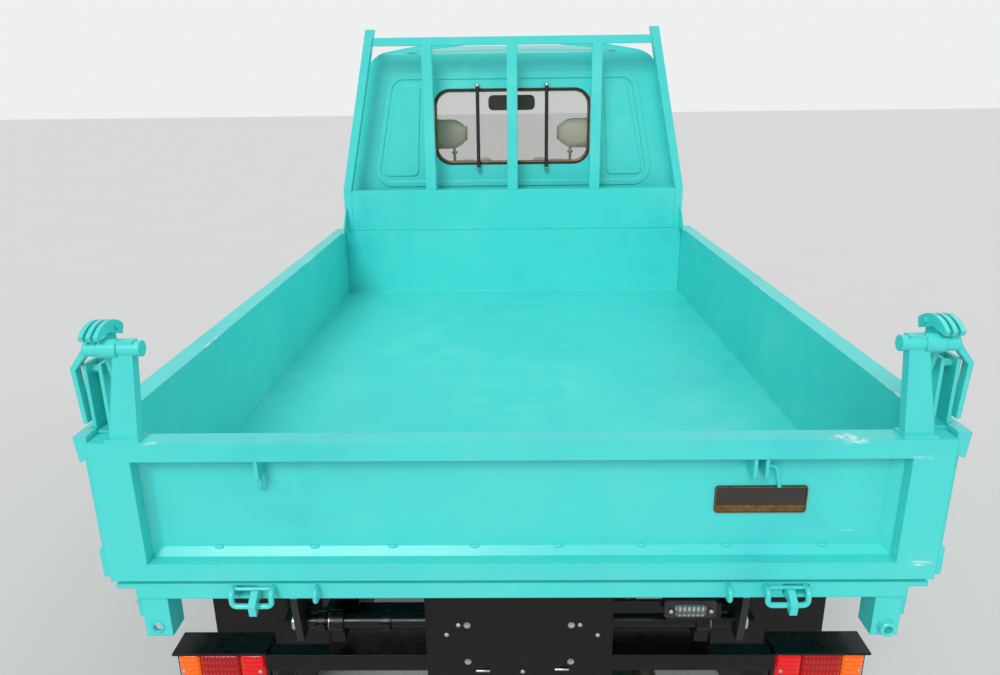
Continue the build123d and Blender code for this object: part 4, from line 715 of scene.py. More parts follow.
# A round section run along the edges of a mesh
def buildTubeTree():
    tree = startTree("tubeTree", (("Radius", "Float", 0.004), ("Sides", "Int", 12)))
    parts = addNodes(tree, {"path": "GeometryNodeMeshToCurve", "section": "GeometryNodeCurvePrimitiveCircle",
                            "sweep": "GeometryNodeCurveToMesh"})
    parts["sweep"].inputs["Fill Caps"].default_value = True
    return wire(tree, parts, [
        ("entry", "Geometry", "path", "Mesh"),
        ("entry", "Sides", "section", "Resolution"),
        ("entry", "Radius", "section", "Radius"),
        ("path", "Curve", "sweep", "Curve"),
        ("section", "Curve", "sweep", "Profile Curve"),
    ], ("sweep", "Mesh"), smooth=True)


# A pattern piece set on every point of a mesh, turned by the point's own attribute, spun at random within a
# spread, and all sized alike
def buildFieldTree():
    tree = startTree("fieldTree", (("Pattern", "Object", None), ("Size", "Float", 1.0),
                                   ("Turn Spread", "Float", 0.0), ("Seed", "Int", 7)))
    parts = addNodes(tree, {
        "pattern": "GeometryNodeObjectInfo", "place": "GeometryNodeInstanceOnPoints",
        "turned": "GeometryNodeInputNamedAttribute", "toTurn": "FunctionNodeEulerToRotation",
        "spin": "GeometryNodeRotateInstances", "chance": "FunctionNodeRandomValue",
        "negative": "ShaderNodeMath", "about": "ShaderNodeCombineXYZ",
        "toSpin": "FunctionNodeEulerToRotation",
    })
    parts["turned"].data_type = "FLOAT_VECTOR"
    parts["turned"].inputs["Name"].default_value = "turn"
    parts["chance"].data_type = "FLOAT"
    parts["negative"].operation = "MULTIPLY"
    parts["negative"].inputs[1].default_value = -1.0
    return wire(tree, parts, [
        ("entry", "Turn Spread", "negative", 0),
        ("negative", "Value", "chance", "Min"),
        ("entry", "Turn Spread", "chance", "Max"),
        ("entry", "Seed", "chance", "Seed"),
        ("chance", "Value", "about", "Z"),
        ("about", "Vector", "toSpin", "Euler"),
        ("entry", "Pattern", "pattern", "Object"),
        ("entry", "Geometry", "place", "Points"),
        ("pattern", "Geometry", "place", "Instance"),
        ("turned", "Attribute", "toTurn", "Euler"),
        ("toTurn", "Rotation", "place", "Rotation"),
        ("entry", "Size", "place", "Scale"),
        ("place", "Instances", "spin", "Instances"),
        ("toSpin", "Rotation", "spin", "Rotation"),
    ], ("spin", "Instances"))


# One sector of tread repeated round a wheel, joined to the tyre's own body
def buildTreadTree():
    tree = startTree("treadTree", (("Sector", "Object", None), ("Pitches", "Int", 60)))
    parts = addNodes(tree, {
        "sector": "GeometryNodeObjectInfo", "ring": "GeometryNodeMeshLine",
        "place": "GeometryNodeInstanceOnPoints", "index": "GeometryNodeInputIndex",
        "share": "ShaderNodeMath", "whole": "ShaderNodeMath", "about": "ShaderNodeCombineXYZ",
        "toTurn": "FunctionNodeEulerToRotation", "join": "GeometryNodeJoinGeometry",
    })
    parts["ring"].inputs["Offset"].default_value = (0, 0, 0)
    parts["share"].operation = "DIVIDE"
    parts["whole"].operation = "MULTIPLY"
    parts["whole"].inputs[1].default_value = 2 * math.pi
    return wire(tree, parts, [
        ("entry", "Sector", "sector", "Object"),
        ("entry", "Pitches", "ring", "Count"),
        ("index", "Index", "share", 0),
        ("entry", "Pitches", "share", 1),
        ("share", "Value", "whole", 0),
        ("whole", "Value", "about", "X"),
        ("about", "Vector", "toTurn", "Euler"),
        ("ring", "Mesh", "place", "Points"),
        ("sector", "Geometry", "place", "Instance"),
        ("toTurn", "Rotation", "place", "Rotation"),
        ("place", "Instances", "join", "Geometry"),
        ("entry", "Geometry", "join", "Geometry"),
    ], ("join", "Geometry"))


trees = {"tube": buildTubeTree(), "field": buildFieldTree(), "tread": buildTreadTree()}


def runTree(kind, source, name, finish, **values):
    tree = trees[kind]
    modifier = source.modifiers.new("make", "NODES")
    modifier.node_group = tree
    values["Finish"] = finish
    for item in tree.interface.items_tree:
        title = item.name.replace(" ", "")
        if item.in_out == "INPUT" and title in values:
            modifier[item.identifier] = values[title]
    bpy.context.view_layer.update()
    mesh = evaluated(source)
    mesh.name = name
    source.modifiers.remove(modifier)
    bpy.data.objects.remove(source)
    return addObject(name, mesh, finish)


def layTube(name, paths, radius, finish, body, slot, sides=12, closed=False):
    mesh = bpy.data.meshes.new("path")
    points, edges = [], []
    for path in paths:
        first = len(points)
        points += [tuple(p) for p in path]
        edges += [(first + i, first + i + 1) for i in range(len(path) - 1)]
        if closed:
            edges.append((first + len(path) - 1, first))
    mesh.from_pydata(points, edges, [])
    made = runTree("tube", addObject("path", mesh), name, finishes[finish], Radius=radius, Sides=sides)
    return settle(made, body, slot)


# Sets a pattern on places, each with the way that it faces
def scatter(name, pattern, places, finish, body, slot, size=1.0, spread=0.0, seed=7):
    mesh = bpy.data.meshes.new("places")
    mesh.from_pydata([tuple(p) for p, _ in places], [], [])
    turn = mesh.attributes.new("turn", "FLOAT_VECTOR", "POINT")
    for i, (_, facing) in enumerate(places):
        if not isinstance(facing, Euler):
            facing = Vector(facing).to_track_quat("Z", "Y").to_euler()
        turn.data[i].vector = tuple(facing)
    made = runTree("field", addObject("places", mesh), name, finishes[finish], Pattern=patterns[pattern],
                   Size=size, TurnSpread=spread, Seed=seed)
    return settle(made, body, slot)


def patternPiece(bm, name):
    piece = closeMesh(bm, name, None, smooth=35)
    piece.hide_render = True
    return piece


# Patterns that repeat: bolts, screws and welds

fixings = {
    "hexWide": 0.013,
    "hexTall": 0.005,
    "washer": 0.0095,
    "screwHead": 0.006,
    "dome": 0.0026,
    "weld": (0.0034, 0.0046, 0.0026),
    "bead": (0.0080, 0.0034, 0.0028),
}


def hexPattern():
    bm = bmesh.new()
    radius = fixings["hexWide"] / 2 / math.cos(math.pi / 6)
    addRound(bm, (0, 0, -0.001), (0, 0, 0.0012), fixings["washer"], sides=20)
    addRound(bm, (0, 0, 0.001), (0, 0, fixings["hexTall"]), radius, sides=6, bevel=0.0006)
    return patternPiece(bm, "hexPattern")


def screwPattern():
    bm = bmesh.new()
    head, dome = fixings["screwHead"], fixings["dome"]
    profile = [(head * math.cos(a), dome * math.sin(a)) for a in (0.0, 0.35, 0.7, 1.05, 1.35)]
    profile = [(head, -0.001)] + profile + [(0.0002, dome)]
    capEnds(bm, addTurned(bm, profile, (0, 0, 0), (0, 0, 1), steps=20, closed=False))
    slotLow, slotHigh = (-head * 0.55, -0.0006, dome * 0.55), (head * 0.55, 0.0006, dome * 1.12)
    for turn in (0, math.pi / 2):
        addBox(bm, slotLow, slotHigh, turn=(0, 0, turn))
    return patternPiece(bm, "screwPattern")


# Round blobs of weld, and flat tabs of it
def blobPattern(kind, subdivisions):
    bm = bmesh.new()
    bmesh.ops.create_icosphere(bm, subdivisions=subdivisions, radius=1.0)
    bmesh.ops.scale(bm, vec=fixings[kind], verts=bm.verts)
    return patternPiece(bm, f"{kind}Pattern")


patterns = {
    "hex": hexPattern(),
    "screw": screwPattern(),
    "weld": blobPattern("weld", 2),
    "bead": blobPattern("bead", 3),
}


# Wheels: tyres with tread, nuts, caps and valves

tyre = {
    "radius": 0.270,
    "width": 0.145,
    "treadDepth": 0.0065,
    "pitches": 62,
    "rows": ((-0.0455, 0.0200, 0.30), (-0.0225, 0.0165, 0.16), (0.0, 0.0165, 0.0), (0.0225, 0.0165, -0.16),
             (0.0455, 0.0200, -0.30)),
    "blockLong": 0.0215,
    "lug": {"out": 0.0600, "half": (0.0045, 0.0070), "low": 0.2500, "high": 0.2575, "lean": 0.62},
    "flange": 0.166,
    "seat": 0.1523,
    "steps": 124,
}


def tyreSection():
    half, rim = tyre["width"] / 2, tyre["flange"]
    base = tyre["radius"] - tyre["treadDepth"]
    side = [
        (base - 0.0002, 0.0), (base - 0.0006, 0.030), (base - 0.0016, 0.048), (base - 0.004, 0.057),
        (base - 0.010, 0.0640), (base - 0.020, 0.0685), (base - 0.030, 0.0708), (base - 0.0305, 0.0720),
        (base - 0.034, 0.0724), (base - 0.0345, 0.0716), (base - 0.045, 0.0722), (base - 0.058, 0.0718),
        (base - 0.0585, 0.0724), (base - 0.0615, 0.0722), (base - 0.062, 0.0712), (rim + 0.022, 0.0680),
        (rim + 0.012, 0.0640), (rim + 0.0105, 0.0652), (rim + 0.008, 0.0646), (rim + 0.0070, 0.0622),
        (rim + 0.003, 0.0560), (rim - 0.002, 0.0512), (tyre["seat"], 0.0505), (tyre["seat"], 0.0),
    ]
    side = [(out, min(along, half)) for out, along in side]
    return side + [(out, -along) for out, along in side[-2:0:-1]]


def tyreBody():
    bm = bmesh.new()
    count = tyre["steps"]
    rings = addTurned(bm, tyreSection(), (0, 0, 0), (1, 0, 0), steps=count)
    layer = bm.loops.layers.uv.new("UVMap")
    bm.verts.index_update()
    for face in bm.faces:
        us = [v.index % count for v in face.verts]
        wraps = max(us) - min(us) > 1
        for loop in face.loops:
            ring, step = divmod(loop.vert.index, count)
            if wraps and step == 0:
                step = count
            loop[layer].uv = (step / count, ring / len(rings))
    bmesh.ops.recalc_face_normals(bm, faces=bm.faces)
    mesh = bpy.data.meshes.new("tyreBody")
    bm.to_mesh(mesh)
    bm.free()
    mesh.shade_smooth()
    mesh.set_sharp_from_angle(angle=math.radians(38))
    return mesh


# Five blocks across, and the shoulders' lugs, in one pitch of the tread
def treadSector():
    bm = bmesh.new()
    top = tyre["radius"] - 0.0002
    low = tyre["radius"] - tyre["treadDepth"] - 0.0015
    for along, wide, skew in tyre["rows"]:
        half, long = wide / 2, tyre["blockLong"] / 2
        lift = top - (0.0022 if abs(along) > 0.04 else 0.0004 if abs(along) > 0.02 else 0.0)
        rings = []
        for inset, z in ((0.0, low), (0.0, lift - 0.0012), (0.0011, lift)):
            ring = []
            for x, y in ((-1, -1), (1, -1), (1, 1), (-1, 1)):
                px, py = x * (half - inset), y * (long - inset)
                py += px * math.tan(skew)
                dip = -0.0032 if abs(along + px) > 0.052 and z > low else 0.0
                ring.append(bm.verts.new((along + px, py, z + dip)))
            rings.append(ring)
        skin(bm, rings)
        bm.faces.new(rings[-1])
    lug = tyre["lug"]
    wide, long = lug["half"]
    for sign in (-1, 1):
        x = sign * lug["out"]
        addBox(bm, (x - wide, -long, lug["low"]), (x + wide, long, lug["high"]), 0.0012, 1,
               turn=(0, sign * lug["lean"], 0))
    return patternPiece(bm, "treadSector")


wheel = {
    "nutCircle": 0.050,
    "nutOut": 0.0345,
    "nuts": 4,
    "capOut": 0.038,
    "cap": [(0.0285, -0.006), (0.0285, 0.006), (0.0270, 0.009), (0.0180, 0.012), (0.0170, 0.0105),
            (0.0040, 0.0112), (0.0004, 0.0112)],
    "valveTip": (0.060, 0.108, 0.062),
    "valveRoot": (0.026, 0.112, 0.064),
    "valve": 0.0036,
    "places": (("front_left", -0.6025, "frontAxle"), ("front_right", 0.6025, "frontAxle"),
               ("rear_left", -0.600, "rearAxle"), ("rear_right", 0.600, "rearAxle")),
}


def addCapAndValve(bm, centre, side):
    cap = centre + Vector((side * wheel["capOut"], 0, 0))
    capEnds(bm, addTurned(bm, wheel["cap"], cap, (side, 0, 0), steps=32, closed=False))
    (tipOut, *tip), (rootOut, *root) = wheel["valveTip"], wheel["valveRoot"]
    tip = centre + Vector((side * tipOut, *tip))
    root = centre + Vector((side * rootOut, *root))
    addRound(bm, root, tip, wheel["valve"], 0.0026, sides=12)
    addRound(bm, tip - (tip - root) * 0.12, tip + (tip - root) * 0.12, wheel["valve"], sides=10, bevel=0.0005)


sector = treadSector()
bodyMesh = tyreBody()
for place, x, axle in wheel["places"]:
    body = f"wheel_{place}"
    y, z = truck[axle], truck["tyreRadius"]
    side = 1 if x > 0 else -1
    source = addObject("tyreSource", bodyMesh.copy())
    made = runTree("tread", source, f"tyre_dressed_{place}", finishes["tyreRubber"], Sector=sector,
                   Pitches=tyre["pitches"])
    made.data.transform(Matrix.Translation((x, y, z)))
    settle(made, body, "tyre", f"tyre_{place}")
    bm = bmesh.new()
    addCapAndValve(bm, Vector((x, y, z)), side)
    dress(bm, f"wheel_cap_{place}", "glossBlack", body, "black_plastic")
    nutPlaces = []
    for i in range(wheel["nuts"]):
        angle = math.pi / 4 + 2 * math.pi * i / wheel["nuts"]
        spot = (x + side * wheel["nutOut"], y + wheel["nutCircle"] * math.cos(angle),
                z + wheel["nutCircle"] * math.sin(angle))
        nutPlaces.append((spot, (side, 0, 0)))
    scatter(f"wheel_nuts_{place}", "hex", nutPlaces, "zinc", body, "rod_chrome", size=1.5)
print("wheels dressed")


# Tailgate: the blank badge, weld tabs, rope hooks and the rings on the tube below it

badge = {"low": (0.3115, 0.8705), "high": (0.4585, 0.9185), "corner": 0.006, "rim": 0.003, "band": 0.012}


def addBadge():
    place = rearPlace(truck["recessFloor"])
    low, high, corner, rim = (badge[k] for k in ("low", "high", "corner", "rim"))
    bm = bmesh.new()
    addPlate(bm, rectangle(low, high), corner, -0.0005, 0.0026, place, 0.0006)
    dress(bm, "badge_plate", "badgeDark", "tailgate", "black_plastic")
    bm = bmesh.new()
    section = ((0.0002, 0.002), (0.0008, 0.0038), (rim - 0.0006, 0.0038), (rim, 0.002))
    addFrame(bm, rectangle(low, high), corner, section, place)
    bandLow = (low[0] + rim * 0.6, low[1] + rim * 0.6)
    bandHigh = (high[0] - rim * 0.6, low[1] + rim + badge["band"])
    addPlate(bm, rectangle(bandLow, bandHigh), 0.002, 0.0015, 0.0033, place, 0.0005)
    dress(bm, "badge_rim", "bronze", "tailgate", "rod_chrome")


addBadge()

tabs = {"along": (-0.492, -0.334, -0.206, -0.072, 0.065, 0.199, 0.338, 0.492), "y": -1.5835, "z": 0.8105}
tabPlaces = [((x, tabs["y"], tabs["z"]), Euler((math.pi / 2, 0, 0))) for x in tabs["along"]]
scatter("gate_weld_tabs", "bead", tabPlaces, "gatePaint", "tailgate", "body_paint")

hook = {
    "wire": 0.0034,
    "bend": 0.008,
    "paths": (
        ((-0.405, -1.583, 0.962), (-0.405, -1.596, 0.957), (-0.405, -1.598, 0.936), (-0.408, -1.592, 0.922)),
        ((0.378, -1.592, 0.959), (0.400, -1.594, 0.959), (0.403, -1.598, 0.944), (0.407, -1.597, 0.924)),
    ),
}
hookPaths = [smoothPath(path, hook["bend"]) for path in hook["paths"]]
layTube("gate_hooks", hookPaths, hook["wire"], "gatePaint", "tailgate", "body_paint", sides=10)

hinge = {
    "y": -1.535,
    "z": 0.629,
    "rings": (-0.394, -0.330, 0.330, 0.394),
    "ring": [(0.0132, -0.005), (0.0158, -0.0035), (0.0158, 0.0035), (0.0132, 0.005)],
    "clamps": (-0.347, -0.232),
    "clamp": [(0.0132, -0.008), (0.0162, -0.008), (0.0168, 0.0), (0.0162, 0.008), (0.0132, 0.008)],
}
bm = bmesh.new()
for x in hinge["rings"]:
    addTurned(bm, hinge["ring"], (x, hinge["y"], hinge["z"]), (1, 0, 0), steps=28)
dress(bm, "hinge_rings", "zinc", "root", "rod_chrome")
print("tailgate dressed")


# Load bed: rivets and welds of the claws, foot and rail bolts, the lashing rings and sealing beads

claw = {
    "rivetX": (0.6745, 0.6185),
    "rivet": (-1.553, 1.113),
    "footX": (0.6315, 0.6760),
    "foot": (-1.5225, 1.0162),
    "weldX": (0.6335, 0.6770),
    "weldY": -1.5545,
    "weldZ": 1.0164,
}
rail = {"x": 0.6505, "along": (-1.560, -1.480), "z": 0.690}
rivetPlaces, boltPlaces = [], []
for side in (-1, 1):
    for x, way in zip(claw["rivetX"], (side, -side)):
        rivetPlaces.append(((side * x, *claw["rivet"]), (way, 0, 0)))
    boltPlaces += [((side * x, *claw["foot"]), (0, 0, 1)) for x in claw["footX"]]
    boltPlaces += [((side * rail["x"], y, rail["z"]), (side, 0, 0)) for y in rail["along"]]
scatter("claw_rivets", "screw", rivetPlaces, "zinc", "bed", "rod_chrome", size=1.35)
scatter("bed_bolts", "hex", boltPlaces, "zinc", "bed", "rod_chrome", size=0.85)

lashing = {"x": 0.602, "z": 0.672, "bore": 0.0072, "rear": -1.6068}
bm = bmesh.new()
for side, out, long in ((-1, 0.0105, 0.0022), (1, 0.0130, 0.0120)):
    bore = lashing["bore"]
    profile = [(bore, 0.0), (out + 0.0012, 0.0), (out, 0.0012), (out, long - 0.0014), (out - 0.0014, long),
               (bore + 0.001, long), (bore, long - 0.001)]
    addTurned(bm, profile, (side * lashing["x"], lashing["rear"], lashing["z"]), (0, -1, 0), steps=28)
dress(bm, "lashing_rings", "framePaint", "bed", "body_paint")

sealing = {
    "x": 0.6545,
    "z": 0.7608,
    "along": (-1.560, -1.0, -0.4, 0.2, 0.315),
    "front": 0.3185,
    "across": (-0.65, -0.2, 0.2, 0.65),
    "radius": 0.0024,
}
beads = [[(side * sealing["x"], y, sealing["z"]) for y in sealing["along"]] for side in (-1, 1)]
beads.append([(x, sealing["front"], sealing["z"]) for x in sealing["across"]])
layTube("bed_sealing_beads", beads, sealing["radius"], "wallPaint", "bed", "body_paint", sides=8)
weldPlaces = [((side * x, claw["weldY"] - 0.014 + 0.0056 * i, claw["weldZ"]), (0, 0, 1))
              for side in (-1, 1) for x in claw["weldX"] for i in range(6)]
scatter("claw_welds", "weld", weldPlaces, "lockPaint", "bed", "body_paint", size=0.8, spread=0.4, seed=5)
print("load bed dressed")


# Rear window, windscreen and door window seals

seal = {
    "section": ((-0.0110, -0.0010), (-0.0100, 0.0026), (-0.0040, 0.0042), (0.0030, 0.0024), (0.0095, -0.0120),
                (0.0105, -0.0195), (0.0005, -0.0195), (0.0005, -0.0010)),
    "rearSection": ((-0.0070, -0.0010), (-0.0062, 0.0022), (-0.0025, 0.0034), (0.0025, 0.0020),
                    (0.0060, -0.0120), (0.0068, -0.0195), (0.0005, -0.0195), (0.0005, -0.0010)),
    "bead": ((0.0020, 0.0024), (0.0032, 0.0036), (0.0050, 0.0030), (0.0066, -0.0090), (0.0050, -0.0100)),
    "inner": ((-0.006, -0.044), (-0.006, -0.0475), (0.004, -0.0475), (0.004, -0.044)),
    "rear": (rectangle((-0.300, 1.254), (0.300, 1.528)), 0.060),
    "screen": ([(-0.610, 1.030), (0.610, 1.030), (0.475, 1.585), (-0.475, 1.585)], 0.050),
    "door": ([(1.4154, 1.040), (1.1559, 1.555), (0.636, 1.555), (0.611, 1.040)], 0.035),
}
bm = bmesh.new()
addFrame(bm, *seal["rear"], seal["rearSection"], rearPlace(truck["cabRear"]), steps=12)
addFrame(bm, *seal["screen"], seal["section"], screenPlace, steps=10)
dress(bm, "window_seals", "sealRubber", "root", "black_plastic", smooth=50)
bm = bmesh.new()
addFrame(bm, *seal["rear"], seal["bead"], rearPlace(truck["cabRear"]), steps=12)
dress(bm, "rear_window_bead", "bronze", "root", "rod_chrome", smooth=50)
for name, side in (("left", -1), ("right", 1)):
    bm = bmesh.new()
    for section in (seal["section"], seal["inner"]):
        addFrame(bm, *seal["door"], section, panePlace(side))
    dress(bm, f"door_seal_{name}", "sealRubber", f"door_{name}", "black_plastic", smooth=50)

# Guard bars' pale end caps
barCap = {
    "x": 0.133,
    "y": 0.417,
    "ends": ((1.548, 1), (1.232, -1)),
    "profile": [(0.0090, -0.006), (0.0090, 0.002), (0.0074, 0.0042), (0.0040, 0.0052), (0.0004, 0.0054)],
}
bm = bmesh.new()
for x in (-barCap["x"], barCap["x"]):
    for z, way in barCap["ends"]:
        addTurned(bm, barCap["profile"], (x, barCap["y"], z), (0, 0, way), steps=20, closed=False)
dress(bm, "guard_bar_caps", "zinc", "root", "rod_chrome")


# Tail lamps in three parts, with their bezels and screws, and the number plate's lamp

tail = {
    "low": 0.4925,
    "high": 0.5615,
    "face": -1.5275,
    "corner": 0.007,
    "parts": (("lens_amber", 0.5746, 0.6122, "lensAmber"), ("lens_deep_red", 0.5028, 0.5738, "lensDeepRed"),
              ("lens_bright_red", 0.4578, 0.5020, "lensRed")),
    "section": ((0, 0), (0, 0.0100), (0.0012, 0.0138), (0.0042, 0.0163), (0.0100, 0.0174), (0.0150, 0.0176)),
    "bezelLow": (0.457, 0.491),
    "bezelHigh": (0.613, 0.563),
    "bezel": ((-0.0032, -0.002), (-0.0032, 0.0078), (-0.0020, 0.0090), (0.0006, 0.0090), (0.0006, -0.002)),
    "bars": (0.5024, 0.5742),
    "barHalf": 0.0009,
    "screws": (0.6045, 0.4660),
}
for name, near, far, finish in tail["parts"]:
    bm = bmesh.new()
    for side in (-1, 1):
        outline = sideRectangle(side, (near, tail["low"]), (far, tail["high"]))
        addLid(bm, outline, tail["corner"], tail["section"], rearPlace(tail["face"]))
    replaced = ("tail_lamps",) if name == "lens_deep_red" else ()
    dress(bm, name, finish, "root", "lamp_red", *replaced, smooth=50)
bm = bmesh.new()
screwPlaces = []
for side in (-1, 1):
    outline = sideRectangle(side, tail["bezelLow"], tail["bezelHigh"])
    addFrame(bm, outline, 0.008, tail["bezel"], rearPlace(tail["face"]))
    for x in tail["bars"]:
        low, high = side * x - tail["barHalf"], side * x + tail["barHalf"]
        addBox(bm, (low, -1.5385, 0.4922), (high, -1.527, 0.5618))
    screwPlaces += [((side * x, -1.5448, 0.527), (0, -1, 0)) for x in tail["screws"]]
dress(bm, "tail_lamp_bezels", "grainedBlack", "root", "black_plastic")
screwPlaces += [((x, -1.5852, 0.684), (0, -1, 0)) for x in (0.2545, 0.3215)]
scatter("lamp_screws", "screw", screwPlaces, "zinc", "root", "rod_chrome", size=0.62)

plateLamp = {
    "face": -1.575,
    "frame": (rectangle((0.244, 0.667), (0.332, 0.701)), 0.006,
              ((0, -0.001), (0, 0.0035), (0.0012, 0.0050), (0.0080, 0.0052))),
    "lens": (rectangle((0.262, 0.6725), (0.314, 0.6955)), 0.006,
             ((0, 0.004), (0, 0.0072), (0.0016, 0.0092), (0.0050, 0.0100))),
}
for part, finish, slot in (("frame", "grainedBlack", "black_plastic"), ("lens", "lensWhite", "lamp_glass")):
    bm = bmesh.new()
    addLid(bm, *plateLamp[part], rearPlace(plateLamp["face"]))
    dress(bm, f"plate_lamp_{part}", finish, "root", slot)


# Fixings and rim of the number plate, which stays blank, and the hinge tube's clamps

plate = {
    "face": -1.5622,
    "screws": ((-0.105, 0.640), (0.105, 0.640), (-0.126, 0.620), (0.136, 0.619), (0.006, 0.542)),
    "nuts": ((-0.090, 0.640), (-0.090, 0.564), (0.090, 0.640), (0.090, 0.564)),
    "pins": ((-0.064, 0.546), (0.0745, 0.549)),
    "pinHalf": 0.0125,
    "rim": (rectangle((-0.1615, 0.5025), (0.1615, 0.6995)), 0.006,
            ((0, -0.0005), (0, 0.0011), (0.0011, 0.0016), (0.0030, 0.0008), (0.0030, -0.0005))),
}
for title, pattern, size in (("screws", "screw", 0.7), ("nuts", "hex", 0.62)):
    places = [((x, plate["face"], z), (0, -1, 0)) for x, z in plate[title]]
    scatter(f"plate_{title}", pattern, places, "zinc", "root", "rod_chrome", size=size)
bm = bmesh.new()
for x, z in plate["pins"]:
    y, half = plate["face"] - 0.002, plate["pinHalf"]
    addRound(bm, (x - half, y, z), (x + half, y, z), 0.0024, sides=12, bevel=0.0008)
dress(bm, "plate_pins", "zinc", "root", "rod_chrome")
bm = bmesh.new()
addFrame(bm, *plate["rim"], rearPlace(plate["face"] + 0.0002))
dress(bm, "plate_rim", "chassisBlack", "root", "chassis_paint")
bm = bmesh.new()
for x in hinge["clamps"]:
    addTurned(bm, hinge["clamp"], (x, hinge["y"], hinge["z"]), (1, 0, 0), steps=28)
    addBox(bm, (x - 0.008, -1.555, 0.6225), (x + 0.008, -1.545, 0.6355), 0.0015)
dress(bm, "hinge_clamps", "chassisBlack", "root", "chassis_paint")
print("rear fittings made")


# Padded seats: each simulated on the left and mirrored to the right

seat = {
    "x": -0.290,
    "rear": 0.535,
    "low": 0.7123,
    "ease": ((0.030, 0.0), (0.012, 0.006), (0.0, 0.024)),
    "voxel": 0.006,
    "pressure": 4.0,
    "frames": 20,
    "channel": {"depth": 0.0075, "wide": 0.013},
    "oval": 0.44,
    "piping": {"inset": 0.020, "near": 0.0035, "bins": 56, "radius": 0.0028},
    "post": {"x": 0.050, "foot": (0.070, 0.535), "head": (0.068, 0.600), "radius": 0.006},
    "collar": {"foot": (0.070, 0.566), "head": (0.070, 0.576), "radius": 0.012},
}
cushions = {
    "cushion": {"outline": [(195, 0), (655, 0), (690, 60), (645, 120), (225, 95)], "half": 0.235,
                "cap": 0.022, "corner": 0.060, "inset": 0.016,
                "channels": ((0, -0.135), (0, 0.135), (1, 0.44))},
    "back": {"outline": [(90, 0), (190, 0), (115, 573), (25, 573), (0, 528)], "half": 0.235, "cap": 0.022,
             "corner": 0.060, "inset": 0.016, "channels": ((0, -0.135), (0, 0.135), (2, 0.40))},
    "head": {"outline": [(35, 568), (105, 568), (90, 712), (65, 724), (15, 708)], "half": 0.122, "cap": 0.014,
             "corner": 0.052, "inset": 0.012, "channels": ()},
}


# The pad's own outline in side view, drawn in so that the swelling stays inside the CAD's solid
def padBlank(kind, piece):
    bm = bmesh.new()
    outline = [(seat["rear"] + y / 1000, seat["low"] + z / 1000) for y, z in piece["outline"]]
    half, inset = piece["half"], piece["inset"]
    near = [(drawn + inset, -half + inset + along) for drawn, along in seat["ease"]]
    far = [(drawn + inset, half - inset - along) for drawn, along in seat["ease"]]
    addLid(bm, outline, piece["corner"], near + far[::-1], sidePlace(seat["x"], 1))
    return closeMesh(bm, f"seat_{kind}_left", finishes["seatVinyl"], smooth=0)


def swellPad(piece, cap):
    remesh = piece.modifiers.new("remesh", "REMESH")
    remesh.mode = "VOXEL"
    remesh.voxel_size = seat["voxel"]
    bpy.context.view_layer.update()
    start = evaluated(piece)
    title = piece.name
    bpy.data.objects.remove(piece)
    pad = addObject(title, start, finishes["seatVinyl"])
    rest = [v.co.copy() for v in start.vertices]
    cloth = pad.modifiers.new("cloth", "CLOTH")
    cloth.settings.quality = 4
    cloth.settings.mass = 0.3
    cloth.settings.tension_stiffness = 12
    cloth.settings.compression_stiffness = 12
    cloth.settings.shear_stiffness = 6
    cloth.settings.bending_stiffness = 0.8
    cloth.settings.use_pressure = True
    cloth.settings.uniform_pressure_force = seat["pressure"]
    cloth.settings.effector_weights.gravity = 0
    cloth.point_cache.frame_start = 1
    cloth.point_cache.frame_end = seat["frames"]
    for step in range(1, seat["frames"] + 1):
        scene.frame_set(step)
    swollen = evaluated(pad)
    for vertex, before in zip(swollen.vertices, rest):
        move = vertex.co - before
        if move.length > cap:
            vertex.co = before + move.normalized() * cap
    pad.modifiers.remove(cloth)
    pad.data = swollen
    scene.frame_set(1)
    return pad


# Presses channels into the pad along lines, each given by its axis and where it crosses that axis
def pressChannels(pad, lines):
    wide = seat["channel"]["wide"]
    for vertex in pad.data.vertices:
        pull = 0.0
        for axis, value in lines:
            apart = abs(vertex.co[axis] - value)
            if apart < wide:
                pull = max(pull, (math.cos(math.pi * apart / wide) + 1) / 2)
        if pull:
            vertex.co -= vertex.normal * seat["channel"]["depth"] * pull


# Draws the head restraint's corners in, so that it is oval from the front and the back
def roundHead(pad):
    heights = [v.co.z for v in pad.data.vertices]
    middle, half = (min(heights) + max(heights)) / 2, (max(heights) - min(heights)) / 2
    wide = max(abs(v.co.x - seat["x"]) for v in pad.data.vertices)
    for vertex in pad.data.vertices:
        u, t = (vertex.co.x - seat["x"]) / wide, (vertex.co.z - middle) / half
        vertex.co.x = seat["x"] + u * wide * math.sqrt(1 - seat["oval"] * t * t)
        vertex.co.z = middle + t * half * math.sqrt(1 - seat["oval"] * u * u)
    bm = bmesh.new()
    bm.from_mesh(pad.data)
    for _ in range(6):
        bmesh.ops.smooth_vert(bm, verts=bm.verts, factor=0.5, use_axis_x=True, use_axis_y=True,
                              use_axis_z=True)
    bm.to_mesh(pad.data)
    bm.free()


def finishPad(pad):
    smooth = pad.modifiers.new("smooth", "SUBSURF")
    smooth.levels = smooth.render_levels = 1
    bpy.context.view_layer.update()
    mesh = evaluated(pad)
    pad.modifiers.remove(smooth)
    pad.data = mesh
    mesh.shade_smooth()


seatPads = []
for kind, piece in cushions.items():
    pad = swellPad(padBlank(kind, piece), piece["cap"])
    corner = (seat["x"], seat["rear"], seat["low"])
    if piece["channels"]:
        pressChannels(pad, [(axis, corner[axis] + apart) for axis, apart in piece["channels"]])
    if kind == "head":
        roundHead(pad)
    finishPad(pad)
    seatPads.append(pad)
    twin = mirrored(pad, f"seat_{kind}_right", finishes["seatVinyl"])
    for made in (pad, twin):
        settle(made, "root", "seat_cloth", *(("seats",) if made is pad and kind == "cushion" else ()))
print("seats padded")


